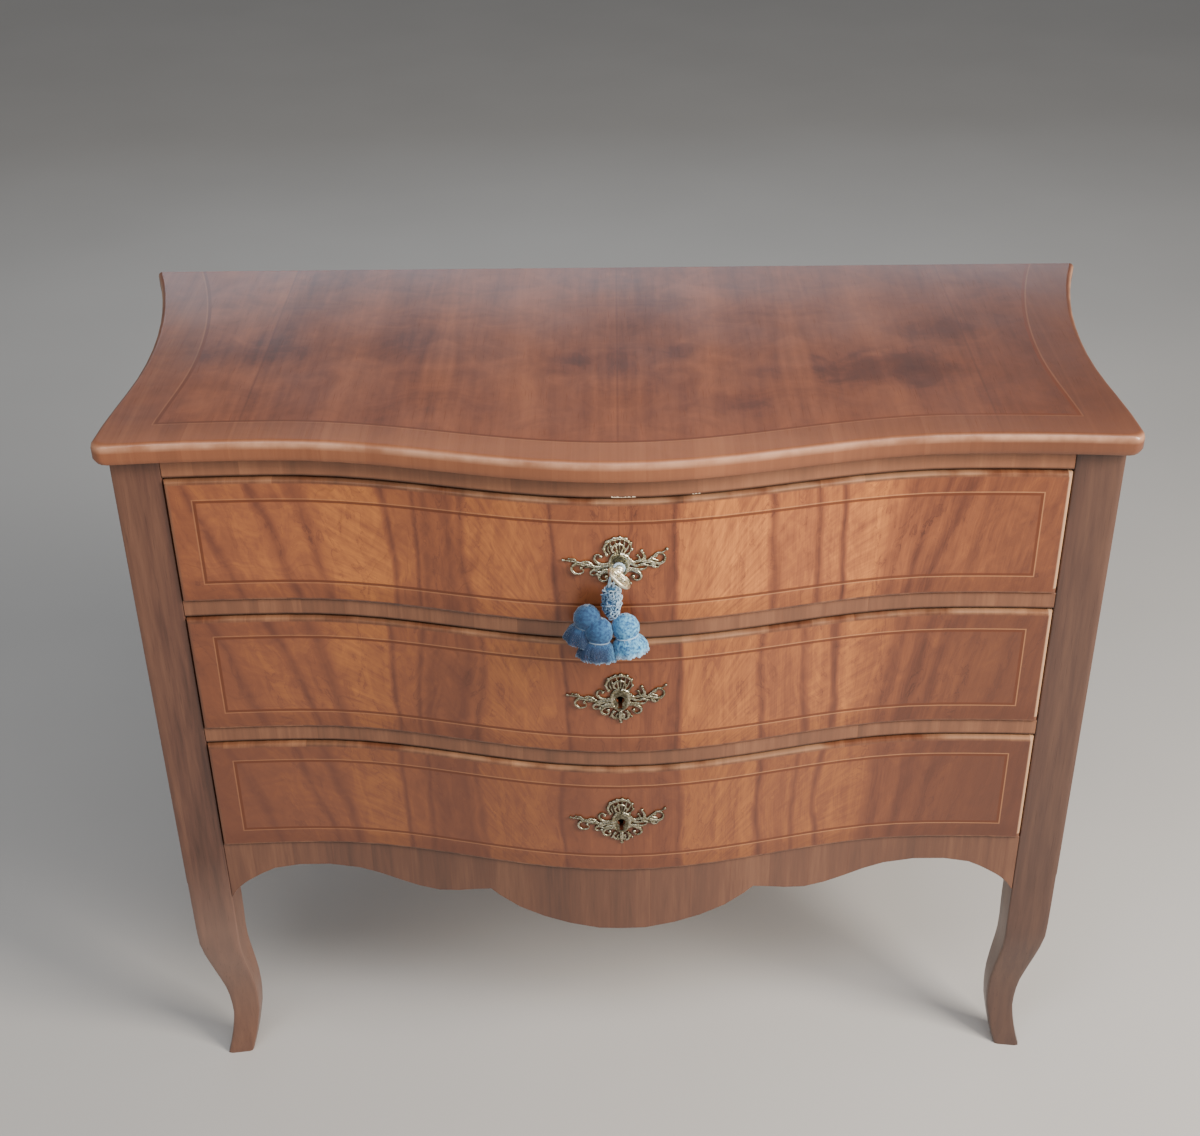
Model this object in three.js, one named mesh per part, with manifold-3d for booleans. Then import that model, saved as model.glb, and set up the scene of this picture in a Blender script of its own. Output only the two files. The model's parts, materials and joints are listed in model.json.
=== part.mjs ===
// A serpentine chest of three drawers in figured walnut, with cabriole front legs, pierced
// brass escutcheons, and a key with a blue tassel in the lock of the top drawer.
// Lengths are millimetres. +X is the right as seen from the front, +Y the back, +Z up.
// The working datum y = 0 is the plane of the front stiles; the whole is moved at the end
// so that the origin lies on the floor, under the middle of the chest and its key.

import * as THREE from "three";
import { mergeVertices } from "three/addons/utils/BufferGeometryUtils.js";
import Module from "manifold-3d";

const wasm = await Module();
wasm.setup();

// Overall form
const HEIGHT = 900;
const WAIST_HALF = 509;
const CORNER_FLARE = 14;
const BACK_FLARE = 42.6;
const WAIST_SETBACK = 177;
const CARCASE_DEPTH = 428;
const BULGE = 54;
const HOLLOW_INSET = 168;
const HOLLOW_SETBACK = 5;
const CORNER_RETURN = 8;

// Top board
const TOP_THICKNESS = 26;
const FRONT_OVERHANG = 16;
const SIDE_OVERHANG = 11;
const BACK_OVERHANG = 10;
const TOP_CORNER_RADIUS = 13;
const UPPER_ARRIS_RADIUS = 6;
const LOWER_ARRIS_RADIUS = 8;

// Openings and rails
const STILE_WIDTH = 53;
const FRIEZE_HEIGHT = 23;
const RAIL_THICKNESS = 20;
const RAIL_BACK = 60;
const RAIL_ARRIS_WIDTH = 1;
const TENON_LENGTH = 12;
const TENON_CHEEK = 5;
const TENON_SETBACK = 12;
const TENON_WIDTH = 26;

// Posts and legs
const POST_DEPTH = 50;
const REAR_POST_WIDTH = 50;
const POST_ARRIS_RADIUS = 9;
const EDGE_ARRIS_RADIUS = 1.5;
const LEG_HEIGHT = 297;
const LEG_SWEEP = 24;
const SHOULDER_RISE = 4;

// Apron, sides and back
const APRON_THICKNESS = 24;
const APRON_END = 57;
const ARCH_INSET = 68;
const APRON_DROP = 93;
const SIDE_THICKNESS = 20;
const TONGUE_LENGTH = 8;
const TONGUE_THICKNESS = 8;
const SIDE_ARCH = 24;
const BACKBOARD_THICKNESS = 12;
const REBATE_WIDTH = 10;
const REAR_RAIL_THICKNESS = 22;
const REAR_RAIL_HEIGHT = 40;

// Runners, guides, stops and kickers
const RUNNER_INSET = 30;
const GUIDE_HEIGHT = 18;
const STOP_LENGTH = 15;
const STUB_LENGTH = 10;
const STUB_WIDTH = 24;

// Drawers
const FRONT_THICKNESS = 25;
const FRONT_PROUD = 4;
const LIP_RADIUS = 4;
const FRONT_END_GAP = 1.2;
const FRONT_TOP_GAP = 2.2;
const FRONT_FOOT_GAP = 0.5;
const DRAWER_SIDE_THICKNESS = 12;
const DRAWER_SIDE_GAP = 6;
const DRAWER_BACK_THICKNESS = 12;
const TAIL_LENGTH = 14;
const BOTTOM_THICKNESS = 8;
const BOTTOM_RAISE = 10;
const BOTTOM_GROOVE = 5;

// Locks and keyholes
const KEYHOLE_RADIUS = 4.2;
const KEYHOLE_SLOT_WIDTH = 4.4;
const KEYHOLE_SLOT_DROP = 12;
const CASE_WIDTH = 64;
const CASE_DEPTH = 13;
const CASE_DROP = 18;
const CASE_WALL = 1.6;
const BOLT_WIDTH = 34;
const BOLT_THICKNESS = 4;
const BOLT_THROW = 8;
const BOLT_SETTLE = 1.2;
const BOLT_SPARE = 3;

// Escutcheons
const PLATE_THICKNESS = 2.2;
const PLATE_HALF_WIDTH = 56;
const PLATE_HALF_HEIGHT = 31;
const SHIELD_WIDTH = 17;
const SHIELD_HEIGHT = 27;

// Key
const SHANK_RADIUS = 3;
const KEY_REACH = 36;
const BOW_WIDTH = 30;
const BOW_LENGTH = 24;
const BOW_THICKNESS = 3.2;
const BOW_RIM = 3.4;
const BOW_TILT = 44;
const BIT_REACH = 10;
const BIT_THICKNESS = 2.6;
const COLLAR_RADIUS = 4.6;
const COLLAR_LENGTH = 3;

// Tassel
const CORD_DIAMETER = 3;
const CORD_STANDOFF = 5;
const HEAD_RADIUS = 8;
const HEAD_LENGTH = 36;
const TUFT_RADIUS = 17;
const TUFT_LENGTH = 46;
const TASSEL_DROP = 19;

// Clearances
const JOINT_GAP = 0.3;
const SLIDE_GAP = 0.3;
const BOLT_GAP = 0.4;
const SHANK_GAP = 0.5;
const SEAT_GAP = 0.4;
const OVERRUN = 2;

// Smoothness
const FRONT_STEPS = 26;
const SIDE_STEPS = 12;
const ARC_STEPS = 3;
const SOFT_STEPS = 2;
const CORD_STEPS = 18;

// Colours of the finishes
const walnut = { color: 0x7a4428, roughness: 0.4, metalness: 0 };
const topWalnut = { color: 0x74432c, roughness: 0.35, metalness: 0 };
const frontVeneer = { color: 0x9a5a30, roughness: 0.38, metalness: 0 };
const plainWood = { color: 0xb08a5c, roughness: 0.75, metalness: 0 };
const iron = { color: 0x4b4742, roughness: 0.55, metalness: 0.9 };
const agedBrass = { color: 0x8d7c4a, roughness: 0.45, metalness: 0.9 };
const brightBrass = { color: 0xd8c48c, roughness: 0.3, metalness: 0.9 };
const blueYarn = { color: 0x3f6f9c, roughness: 0.9, metalness: 0 };

// Levels that follow from the driving sizes
const carcaseTop = HEIGHT - TOP_THICKNESS;
const shoulderTop = LEG_HEIGHT + SHOULDER_RISE;
const apronTop = shoulderTop + APRON_END;
const openingHeight = (carcaseTop - FRIEZE_HEIGHT - apronTop - 2 * RAIL_THICKNESS) / 3;
const openingPitch = openingHeight + RAIL_THICKNESS;
const openings = [2, 1, 0].map((below) => apronTop + below * openingPitch);
const keyholeRaise = openingHeight / 2;
const cornerHalf = WAIST_HALF + CORNER_FLARE;
const openingHalf = cornerHalf - STILE_WIDTH;
const hollowHalf = cornerHalf - HOLLOW_INSET;
const runnerInner = openingHalf - RUNNER_INSET;
const topBack = CARCASE_DEPTH + BACK_OVERHANG;
const rearPostFront = CARCASE_DEPTH - POST_DEPTH;
const backboardFront = CARCASE_DEPTH - BACKBOARD_THICKNESS;
const rearRailFront = backboardFront - JOINT_GAP - REAR_RAIL_THICKNESS;
const backFoot = apronTop - REAR_RAIL_HEIGHT;
const drawerEnd = backboardFront - 2 * JOINT_GAP - STOP_LENGTH;
const frontHalf = openingHalf - FRONT_END_GAP;
const sideInner = frontHalf - DRAWER_SIDE_THICKNESS;
const frontBehind = FRONT_THICKNESS - FRONT_PROUD;
const shoulderY = HOLLOW_SETBACK + frontBehind;

// Plan curves: the serpentine front and the hollow side of the carcase
function faceY(x) {
  const across = Math.abs(x);
  if (across < hollowHalf) {
    return HOLLOW_SETBACK - BULGE * Math.cos((Math.PI / 2) * (across / hollowHalf)) ** 2;
  }
  return HOLLOW_SETBACK - CORNER_RETURN * ((across - hollowHalf) / (cornerHalf - hollowHalf)) ** 2;
}

function sideX(y) {
  if (y < WAIST_SETBACK) {
    const share = Math.min(1, (WAIST_SETBACK - y) / (WAIST_SETBACK + FRONT_OVERHANG));
    return WAIST_HALF + CORNER_FLARE * Math.sin((Math.PI / 2) * share) ** 2;
  }
  return WAIST_HALF + BACK_FLARE * ((y - WAIST_SETBACK) / (topBack - WAIST_SETBACK)) ** 2;
}

// The back of a drawer front runs with its face between the hollows and is flat beyond them.
function frontBackY(x) {
  return faceY(Math.min(Math.abs(x), hollowHalf)) + frontBehind;
}

const rearInner = sideX(CARCASE_DEPTH) - REAR_POST_WIDTH;
const postOuter = sideX(POST_DEPTH);

// Helpers for closed shapes
function evenly(from, to, steps) {
  return Array.from({ length: steps + 1 }, (_, i) => from + ((to - from) * i) / steps);
}

function point(x, y, z) {
  return new THREE.Vector3(x, y, z);
}

function polygon(points) {
  return new THREE.Shape(points.map(([u, v]) => new THREE.Vector2(u, v)));
}

function board(x, y, z) {
  const box = new THREE.BoxGeometry(x[1] - x[0], y[1] - y[0], z[1] - z[0]);
  return box.translate((x[0] + x[1]) / 2, (y[0] + y[1]) / 2, (z[0] + z[1]) / 2);
}

function planSolid(shape, low, high) {
  const made = new THREE.ExtrudeGeometry(shape, { depth: high - low, bevelEnabled: false });
  return made.translate(0, 0, low);
}

// A shape drawn as (y, z) and carried along X.
function endSolid(shape, left, right) {
  const made = new THREE.ExtrudeGeometry(shape, { depth: right - left, bevelEnabled: false });
  return made.rotateX(Math.PI / 2).rotateZ(Math.PI / 2).translate(left, 0, 0);
}

// A shape drawn as (x, z) and carried towards the front from the plane y = back.
function frontSolid(shape, front, back) {
  const made = new THREE.ExtrudeGeometry(shape, { depth: back - front, bevelEnabled: false });
  return made.rotateX(Math.PI / 2).translate(0, back, 0);
}

function capFaces(ring) {
  const normal = point(0, 0, 0);
  ring.forEach((p, i) => normal.add(point(0, 0, 0).crossVectors(p, ring[(i + 1) % ring.length])));
  normal.normalize();
  const along = point(0, 0, 0).subVectors(ring[1], ring[0]).normalize();
  const across = point(0, 0, 0).crossVectors(normal, along);
  const flat = ring.map((p) => new THREE.Vector2(p.dot(along), p.dot(across)));
  return THREE.ShapeUtils.triangulateShape(flat, []);
}

// A closed skin through rings that all have the same number of points.
function loft(rings) {
  const count = rings[0].length;
  const last = (rings.length - 1) * count;
  const faces = [];
  for (let k = 0; k < rings.length - 1; k += 1) {
    for (let i = 0; i < count; i += 1) {
      const a = k * count + i;
      const b = k * count + ((i + 1) % count);
      faces.push(a, b, b + count, a, b + count, a + count);
    }
  }
  capFaces(rings[0]).forEach(([a, b, c]) => faces.push(c, b, a));
  capFaces(rings.at(-1)).forEach(([a, b, c]) => faces.push(last + a, last + b, last + c));
  const made = new THREE.BufferGeometry();
  made.setAttribute(
    "position",
    new THREE.Float32BufferAttribute(rings.flat().flatMap((p) => [p.x, p.y, p.z]), 3),
  );
  made.setIndex(faces);
  return facingOut(made);
}

function turnedRound(geometry) {
  const index = Array.from(geometry.index.array);
  for (let i = 0; i < index.length; i += 3) {
    [index[i + 1], index[i + 2]] = [index[i + 2], index[i + 1]];
  }
  geometry.setIndex(index);
  return geometry;
}

function facingOut(geometry) {
  const place = geometry.attributes.position;
  const index = geometry.index.array;
  const corner = (i) => point(0, 0, 0).fromBufferAttribute(place, index[i]);
  let volume = 0;
  for (let i = 0; i < index.length; i += 3) {
    volume += corner(i).dot(corner(i + 1).cross(corner(i + 2)));
  }
  return volume < 0 ? turnedRound(geometry) : geometry;
}

function merged(geometry) {
  const bare = geometry.index ? geometry.toNonIndexed() : geometry.clone();
  bare.deleteAttribute("normal");
  bare.deleteAttribute("uv");
  return mergeVertices(bare);
}

function mirrored(geometry) {
  return turnedRound(merged(geometry).scale(-1, 1, 1));
}

function solid(geometry) {
  const whole = facingOut(merged(geometry));
  return new wasm.Manifold(
    new wasm.Mesh({
      numProp: 3,
      vertProperties: whole.attributes.position.array,
      triVerts: new Uint32Array(whole.index.array),
    }),
  );
}

function skin(made) {
  const mesh = made.getMesh();
  const out = new THREE.BufferGeometry();
  out.setAttribute("position", new THREE.BufferAttribute(mesh.vertProperties, mesh.numProp));
  out.setIndex(new THREE.BufferAttribute(mesh.triVerts, 1));
  return out;
}

function join(...geometries) {
  return skin(geometries.map(solid).reduce((whole, next) => whole.add(next)));
}

function cut(geometry, ...tools) {
  return skin(tools.map(solid).reduce((whole, tool) => whole.subtract(tool), solid(geometry)));
}

// Top board: one outline drawn in at each height of its moulded edge
function topOutline(inset, z) {
  const nose = FRONT_OVERHANG - inset;
  const reach = sideX(TOP_CORNER_RADIUS - FRONT_OVERHANG) + SIDE_OVERHANG - inset;
  const straight = reach - TOP_CORNER_RADIUS;
  const half = evenly(0, straight, FRONT_STEPS / 2).map((x) => [x, faceY(x) - nose]);
  const centreY = faceY(straight) - nose + TOP_CORNER_RADIUS;
  for (const angle of evenly(-Math.PI / 2, 0, ARC_STEPS + 1).slice(1)) {
    half.push([
      straight + TOP_CORNER_RADIUS * Math.cos(angle),
      centreY + TOP_CORNER_RADIUS * Math.sin(angle),
    ]);
  }
  for (const y of evenly(centreY, topBack, SIDE_STEPS).slice(1)) {
    half.push([sideX(y) + SIDE_OVERHANG - inset, y]);
  }
  const left = half.slice(1).reverse();
  return [...half.map(([x, y]) => point(x, y, z)), ...left.map(([x, y]) => point(-x, y, z))];
}

function topBoard() {
  const rings = [];
  for (const angle of evenly(0, Math.PI / 2, SOFT_STEPS)) {
    const inset = LOWER_ARRIS_RADIUS * (1 - Math.sin(angle));
    const rise = LOWER_ARRIS_RADIUS * (1 - Math.cos(angle));
    rings.push(topOutline(inset, carcaseTop + rise));
  }
  for (const angle of evenly(0, Math.PI / 2, ARC_STEPS)) {
    const fall = UPPER_ARRIS_RADIUS * (1 - Math.cos(angle));
    rings.push(topOutline(fall, HEIGHT - UPPER_ARRIS_RADIUS + UPPER_ARRIS_RADIUS * Math.sin(angle)));
  }
  return loft(rings);
}

// Posts and legs: rounded four-cornered rings, from the floor up
function roundedRing(corners, z) {
  const ring = [];
  corners.forEach(([x, y, radius], i) => {
    const here = new THREE.Vector2(x, y);
    const [bx, by] = corners.at(i - 1);
    const [ax, ay] = corners[(i + 1) % corners.length];
    const before = new THREE.Vector2(bx, by).sub(here).setLength(radius).add(here);
    const after = new THREE.Vector2(ax, ay).sub(here).setLength(radius).add(here);
    const bend = new THREE.QuadraticBezierCurve(before, here, after);
    bend.getPoints(SOFT_STEPS).forEach((p) => ring.push(point(p.x, p.y, z)));
  });
  return ring;
}

// Height, inward sweep and width of the leg, as shares of its height, its sweep and the stile.
const legShares = [
  [0, 0.48, 0.615],
  [0.065, 0.7, 0.62],
  [0.14, 0.88, 0.627],
  [0.21, 0.98, 0.65],
  [0.28, 0.955, 0.687],
  [0.35, 0.867, 0.728],
  [0.433, 0.654, 0.79],
  [0.5, 0.454, 0.843],
  [0.58, 0.225, 0.9],
  [0.668, 0.03, 0.975],
  [0.765, 0, 1],
  [0.874, 0, 1],
  [1, 0, 1],
];
const LEG_RINGS = 16;
const legArrisShare = 0.2;
const sweepBackShare = 0.8;
const legDepthShare = 0.9;

function legLevels() {
  const line = new THREE.CatmullRomCurve3(legShares.map(([h, s, w]) => point(s, w, h)));
  return line.getPoints(LEG_RINGS).map((p) => {
    const up = Math.min(1, Math.max(0, p.z));
    const width = Math.min(1, p.y) * STILE_WIDTH;
    const arris = width * legArrisShare;
    const edge = EDGE_ARRIS_RADIUS + ((1 - up) * arris) / 2;
    return { z: up * LEG_HEIGHT, sweep: Math.max(0, p.x) * LEG_SWEEP, width, arris, edge };
  });
}

function frontPostRing(sweep, inner, behind, arris, edge, z) {
  const back = sweep * sweepBackShare;
  return roundedRing(
    [
      [inner, faceY(openingHalf) + back, edge],
      [cornerHalf - sweep, faceY(cornerHalf) + back, arris],
      [postOuter - sweep, behind, edge],
      [inner, behind, edge],
    ],
    z,
  );
}

function frontPost() {
  const rings = legLevels().map(({ z, sweep, width, arris, edge }) => {
    const inner = cornerHalf - sweep - width;
    const behind = faceY(cornerHalf) + sweep * sweepBackShare + width * legDepthShare;
    return frontPostRing(sweep, inner, behind, arris, edge, z);
  });
  for (const z of [shoulderTop, carcaseTop]) {
    rings.push(frontPostRing(0, openingHalf, POST_DEPTH, POST_ARRIS_RADIUS, EDGE_ARRIS_RADIUS, z));
  }
  return loft(rings);
}

function rearPostRing(sweep, inner, ahead, arris, edge, z) {
  return roundedRing(
    [
      [inner, ahead, edge],
      [sideX(ahead) - sweep, ahead, edge],
      [sideX(CARCASE_DEPTH) - sweep, CARCASE_DEPTH, arris],
      [inner, CARCASE_DEPTH, EDGE_ARRIS_RADIUS],
    ],
    z,
  );
}

function rearPost() {
  const rings = legLevels().map(({ z, sweep, width, edge }) => {
    const inner = sideX(CARCASE_DEPTH) - sweep - (REAR_POST_WIDTH * width) / STILE_WIDTH;
    return rearPostRing(sweep, inner, CARCASE_DEPTH - width * legDepthShare, edge, edge, z);
  });
  for (const z of [shoulderTop, carcaseTop]) {
    rings.push(rearPostRing(0, rearInner, rearPostFront, EDGE_ARRIS_RADIUS, EDGE_ARRIS_RADIUS, z));
  }
  return loft(rings);
}

// Tenons at the right end of a rail between two levels, drawn larger for the mortise.
function railTenon(low, high, grow) {
  return board(
    [openingHalf - OVERRUN, openingHalf + TENON_LENGTH + grow],
    [TENON_SETBACK - grow, TENON_SETBACK + TENON_WIDTH + grow],
    [low + TENON_CHEEK - grow, high - TENON_CHEEK + grow],
  );
}

// A bar that follows the front, lofted from side to side through one section.
function frontBar(stations, section) {
  return loft(stations.map((x) => section(x).map(([y, z]) => point(x, y, z))));
}

const railEnd = openingHalf - JOINT_GAP;

function railBody(low, high, faceOf) {
  return frontBar(evenly(-railEnd, railEnd, FRONT_STEPS), (x) => {
    const face = faceOf(x);
    return [
      [face, low + RAIL_ARRIS_WIDTH],
      [face, high - RAIL_ARRIS_WIDTH],
      [face + RAIL_ARRIS_WIDTH, high],
      [RAIL_BACK, high],
      [RAIL_BACK, low],
      [face + RAIL_ARRIS_WIDTH, low],
    ];
  });
}

// Stub tenons of the runners, which enter the back edge of the rail in front of them.
const stubInner = runnerInner + (openingHalf - runnerInner - STUB_WIDTH) / 2;

function runnerStub(top, grow) {
  return board(
    [stubInner - grow, stubInner + STUB_WIDTH + grow],
    [RAIL_BACK - STUB_LENGTH - grow, RAIL_BACK + OVERRUN],
    [top - RAIL_THICKNESS + TENON_CHEEK - grow, top - TENON_CHEEK + grow],
  );
}

// Mortises under a rail that take the lock bolt of the drawer below it.
const lockBack = frontBackY(0);
const lockFront = lockBack - CASE_DEPTH;
const boltFront = lockFront + (CASE_DEPTH - BOLT_THICKNESS) / 2;

function boltMortise(openingTop) {
  const roomX = BOLT_WIDTH / 2 + 2 * BOLT_GAP;
  return board(
    [-roomX, roomX],
    [boltFront - 2 * BOLT_GAP, boltFront + BOLT_THICKNESS + 2 * BOLT_GAP],
    [openingTop - OVERRUN, openingTop + BOLT_THROW + BOLT_SPARE],
  );
}

function tenonedRail(low, high, tools) {
  const end = railTenon(low, high, 0);
  return cut(join(railBody(low, high, faceY), end, mirrored(end)), ...tools);
}

function dividerRail(opening) {
  const stub = runnerStub(opening, JOINT_GAP);
  const low = opening - RAIL_THICKNESS;
  return tenonedRail(low, opening, [stub, mirrored(stub), boltMortise(low)]);
}

function bottomFrontRail() {
  const stub = runnerStub(apronTop, JOINT_GAP);
  const behindApron = (x) => faceY(x) + APRON_THICKNESS + JOINT_GAP;
  return cut(railBody(apronTop - RAIL_THICKNESS, apronTop, behindApron), stub, mirrored(stub));
}

// Apron: the lower edge is given from the middle to the stile, as shares of the half width of
// its arches and of the greatest drop.
const apronShares = [
  [0, 1],
  [0.06, 0.998],
  [0.136, 0.94],
  [0.202, 0.865],
  [0.266, 0.755],
  [0.316, 0.61],
  [0.34, 0.516],
  [0.382, 0.57],
  [0.424, 0.63],
  [0.477, 0.675],
  [0.53, 0.65],
  [0.582, 0.585],
  [0.635, 0.5],
  [0.686, 0.435],
  [0.765, 0.388],
  [0.844, 0.388],
  [0.91, 0.44],
  [0.942, 0.515],
  [0.965, 0.58],
  [0.985, 0.64],
  [1.002, 0.705],
  [1.018, 0.79],
];
const archHalf = cornerHalf - ARCH_INSET;
const archEndShare = 0.9;

function apronBoard() {
  const edge = apronShares.map(([across, drop]) => [across * archHalf, apronTop - drop * APRON_DROP]);
  edge.push([railEnd, apronTop - archEndShare * APRON_DROP]);
  const left = edge.slice(1).reverse().map(([x, z]) => [-x, z]);
  const body = loft(
    [...left, ...edge].map(([x, low]) => {
      const face = faceY(x);
      return [
        point(x, face, low + RAIL_ARRIS_WIDTH),
        point(x, face, apronTop - RAIL_ARRIS_WIDTH),
        point(x, face + RAIL_ARRIS_WIDTH, apronTop),
        point(x, face + APRON_THICKNESS, apronTop),
        point(x, face + APRON_THICKNESS, low),
        point(x, face + RAIL_ARRIS_WIDTH, low),
      ];
    }),
  );
  const end = apronTenon(0);
  return join(body, end, mirrored(end));
}

function apronTenon(grow) {
  const middle = faceY(openingHalf) + APRON_THICKNESS / 2;
  const half = APRON_THICKNESS / 4 + grow;
  return board(
    [openingHalf - OVERRUN, openingHalf + TENON_LENGTH + grow],
    [middle - half, middle + half],
    [shoulderTop + TENON_CHEEK - grow, apronTop - TENON_CHEEK + grow],
  );
}

// Side panels: bent boards with a tongue at each end and an arched foot
const panelFront = POST_DEPTH + JOINT_GAP;
const panelBack = rearPostFront - JOINT_GAP;

function panelFoot(y) {
  const share = (2 * y - panelFront - panelBack) / (panelBack - panelFront);
  return shoulderTop + 2 * JOINT_GAP + SIDE_ARCH * (1 - share ** 4);
}

function panelRing(y, inner, outer, low, high) {
  return [point(outer, y, low), point(outer, y, high), point(inner, y, high), point(inner, y, low)];
}

function tongueRing(y, grow) {
  const middle = sideX(y) - SIDE_THICKNESS / 2;
  const half = TONGUE_THICKNESS / 2 + grow;
  const foot = shoulderTop + TENON_CHEEK - grow;
  return panelRing(y, middle - half, middle + half, foot, carcaseTop - TENON_CHEEK + grow);
}

function sidePanel() {
  const rings = [tongueRing(panelFront - TONGUE_LENGTH, 0), tongueRing(panelFront, 0)];
  for (const y of evenly(panelFront, panelBack, SIDE_STEPS)) {
    rings.push(panelRing(y, sideX(y) - SIDE_THICKNESS, sideX(y), panelFoot(y), carcaseTop));
  }
  rings.push(tongueRing(panelBack, 0), tongueRing(panelBack + TONGUE_LENGTH, 0));
  return loft(rings);
}

function panelGrooves() {
  const run = TONGUE_LENGTH + JOINT_GAP;
  const ahead = loft([tongueRing(panelFront - run, JOINT_GAP), tongueRing(panelFront + OVERRUN, JOINT_GAP)]);
  const behind = loft([tongueRing(panelBack - OVERRUN, JOINT_GAP), tongueRing(panelBack + run, JOINT_GAP)]);
  return { ahead, behind };
}

// Back boards, laid in a rebate of the rear posts
const backEnd = rearInner + REBATE_WIDTH;

function backRebate() {
  return board(
    [rearInner - OVERRUN, backEnd],
    [backboardFront - JOINT_GAP, CARCASE_DEPTH + OVERRUN],
    [backFoot - JOINT_GAP, carcaseTop + OVERRUN],
  );
}

const BACKBOARDS = 3;
const backboardHeight = (carcaseTop - backFoot - (BACKBOARDS - 1) * JOINT_GAP) / BACKBOARDS;

function backboard(index) {
  const low = backFoot + index * (backboardHeight + JOINT_GAP);
  const half = backEnd - JOINT_GAP;
  return board([-half, half], [backboardFront, CARCASE_DEPTH], [low, low + backboardHeight]);
}

function rearRail(low, high) {
  const half = rearInner - JOINT_GAP;
  return board([-half, half], [rearRailFront, backboardFront - JOINT_GAP], [low, high]);
}

// Strips that lie along the inside of a side panel and stop round the rear post.
function sideStrip(end, low, high) {
  const start = RAIL_BACK + JOINT_GAP;
  const notch = rearPostFront - 2 * JOINT_GAP;
  const outline = [[runnerInner, start]];
  for (const y of evenly(start, notch, SIDE_STEPS / 2)) {
    outline.push([sideX(y) - SIDE_THICKNESS - 2 * JOINT_GAP, y]);
  }
  outline.push([rearInner - JOINT_GAP, notch], [rearInner - JOINT_GAP, end], [runnerInner, end]);
  return planSolid(polygon(outline), low, high);
}

function runner(top, end) {
  const guideInner = openingHalf + SLIDE_GAP;
  const guideOuter = WAIST_HALF - SIDE_THICKNESS - 2 * JOINT_GAP;
  const rise = [top - OVERRUN, top + GUIDE_HEIGHT];
  const bar = sideStrip(end, top - RAIL_THICKNESS, top);
  const length = [RAIL_BACK + JOINT_GAP, rearPostFront - 2 * JOINT_GAP];
  const guide = board([guideInner, guideOuter], length, rise);
  const stop = board([sideInner, rearInner - JOINT_GAP], [drawerEnd + JOINT_GAP, end], rise);
  return join(bar, guide, stop, runnerStub(top, 0));
}

// Drawer front: a bent board with a quarter-round lip on all four edges of its face
function lipFall(distance) {
  const near = LIP_RADIUS - Math.min(distance, LIP_RADIUS);
  return LIP_RADIUS - Math.sqrt(LIP_RADIUS ** 2 - near ** 2);
}

function lipStations() {
  return evenly(0, Math.PI / 2, SOFT_STEPS).map((angle) => LIP_RADIUS * (1 - Math.cos(angle)));
}

const frontFoot = FRONT_FOOT_GAP;
const frontHead = openingHeight - FRONT_TOP_GAP;

function frontBoard() {
  const rises = lipStations();
  const heights = [
    ...rises.map((rise) => frontFoot + rise),
    ...rises.map((rise) => frontHead - rise).reverse(),
  ];
  const straight = frontHalf - LIP_RADIUS;
  const ends = rises.slice(0, -1).map((rise) => frontHalf - rise);
  const stations = [
    ...ends.map((x) => -x),
    ...evenly(-straight, straight, FRONT_STEPS),
    ...ends.reverse(),
  ];
  return frontBar(stations, (x) => {
    const face = faceY(x) - FRONT_PROUD;
    const endFall = lipFall(frontHalf - Math.abs(x));
    const ring = heights.map((z) => {
      const edgeFall = lipFall(Math.min(z - frontFoot, frontHead - z));
      return [face + Math.max(endFall, edgeFall), z];
    });
    ring.push([frontBackY(x), frontHead], [frontBackY(x), frontFoot]);
    return ring;
  });
}

// Dovetails: wedge-shaped tails on a drawer side, wider at their tips
const tailRootShare = 0.3;
const tailTipShare = 0.4;
const FRONT_TAILS = 4;
const BACK_TAILS = 3;
const sideFoot = SLIDE_GAP;
const sideHead = openingHeight - DRAWER_SIDE_GAP;
const bottomLow = sideFoot + BOTTOM_RAISE;
const bottomHigh = bottomLow + BOTTOM_THICKNESS;
const backLow = bottomHigh + JOINT_GAP;
const backInner = drawerEnd - DRAWER_BACK_THICKNESS;

function tail(rootY, tipY, middle, pitch, grow) {
  const towards = Math.sign(tipY - rootY);
  const root = pitch * tailRootShare + grow;
  const tip = pitch * tailTipShare + grow;
  const shape = polygon([
    [rootY, middle - root],
    [tipY + towards * grow, middle - tip],
    [tipY + towards * grow, middle + tip],
    [rootY, middle + root],
  ]);
  return endSolid(shape, sideInner - grow, frontHalf + (grow ? OVERRUN : 0));
}

function tailRow(rootY, tipY, low, high, count, grow) {
  const pitch = (high - low) / count;
  return Array.from({ length: count }, (_, i) => {
    return tail(rootY, tipY, low + pitch * (i + 1 / 2), pitch, grow);
  });
}

function frontTails(grow) {
  const root = shoulderY + JOINT_GAP + OVERRUN;
  return tailRow(root, shoulderY - TAIL_LENGTH, sideFoot, sideHead, FRONT_TAILS, grow);
}

function backTails(grow) {
  const root = backInner - JOINT_GAP - OVERRUN;
  return tailRow(root, drawerEnd, backLow, sideHead, BACK_TAILS, grow);
}

// Drawer bottom: its front edge follows the back of the drawer front, inside a groove.
function bottomPanel(grow) {
  const half = sideInner + BOTTOM_GROOVE + grow;
  const front = evenly(-half, half, FRONT_STEPS).map((x) => [x, frontBackY(x) - BOTTOM_GROOVE - grow]);
  const outline = [...front, [half, drawerEnd + grow], [-half, drawerEnd + grow]];
  return planSolid(polygon(outline), bottomLow - grow, bottomHigh + grow);
}

function drawerSide() {
  const length = [shoulderY + JOINT_GAP, backInner - JOINT_GAP];
  const plank = board([sideInner, frontHalf], length, [sideFoot, sideHead]);
  const heel = board(
    [sideInner, frontHalf],
    [backInner - OVERRUN, drawerEnd],
    [sideFoot, backLow - JOINT_GAP],
  );
  const whole = join(plank, heel, ...frontTails(0), ...backTails(0));
  return cut(whole, bottomPanel(JOINT_GAP));
}

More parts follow.
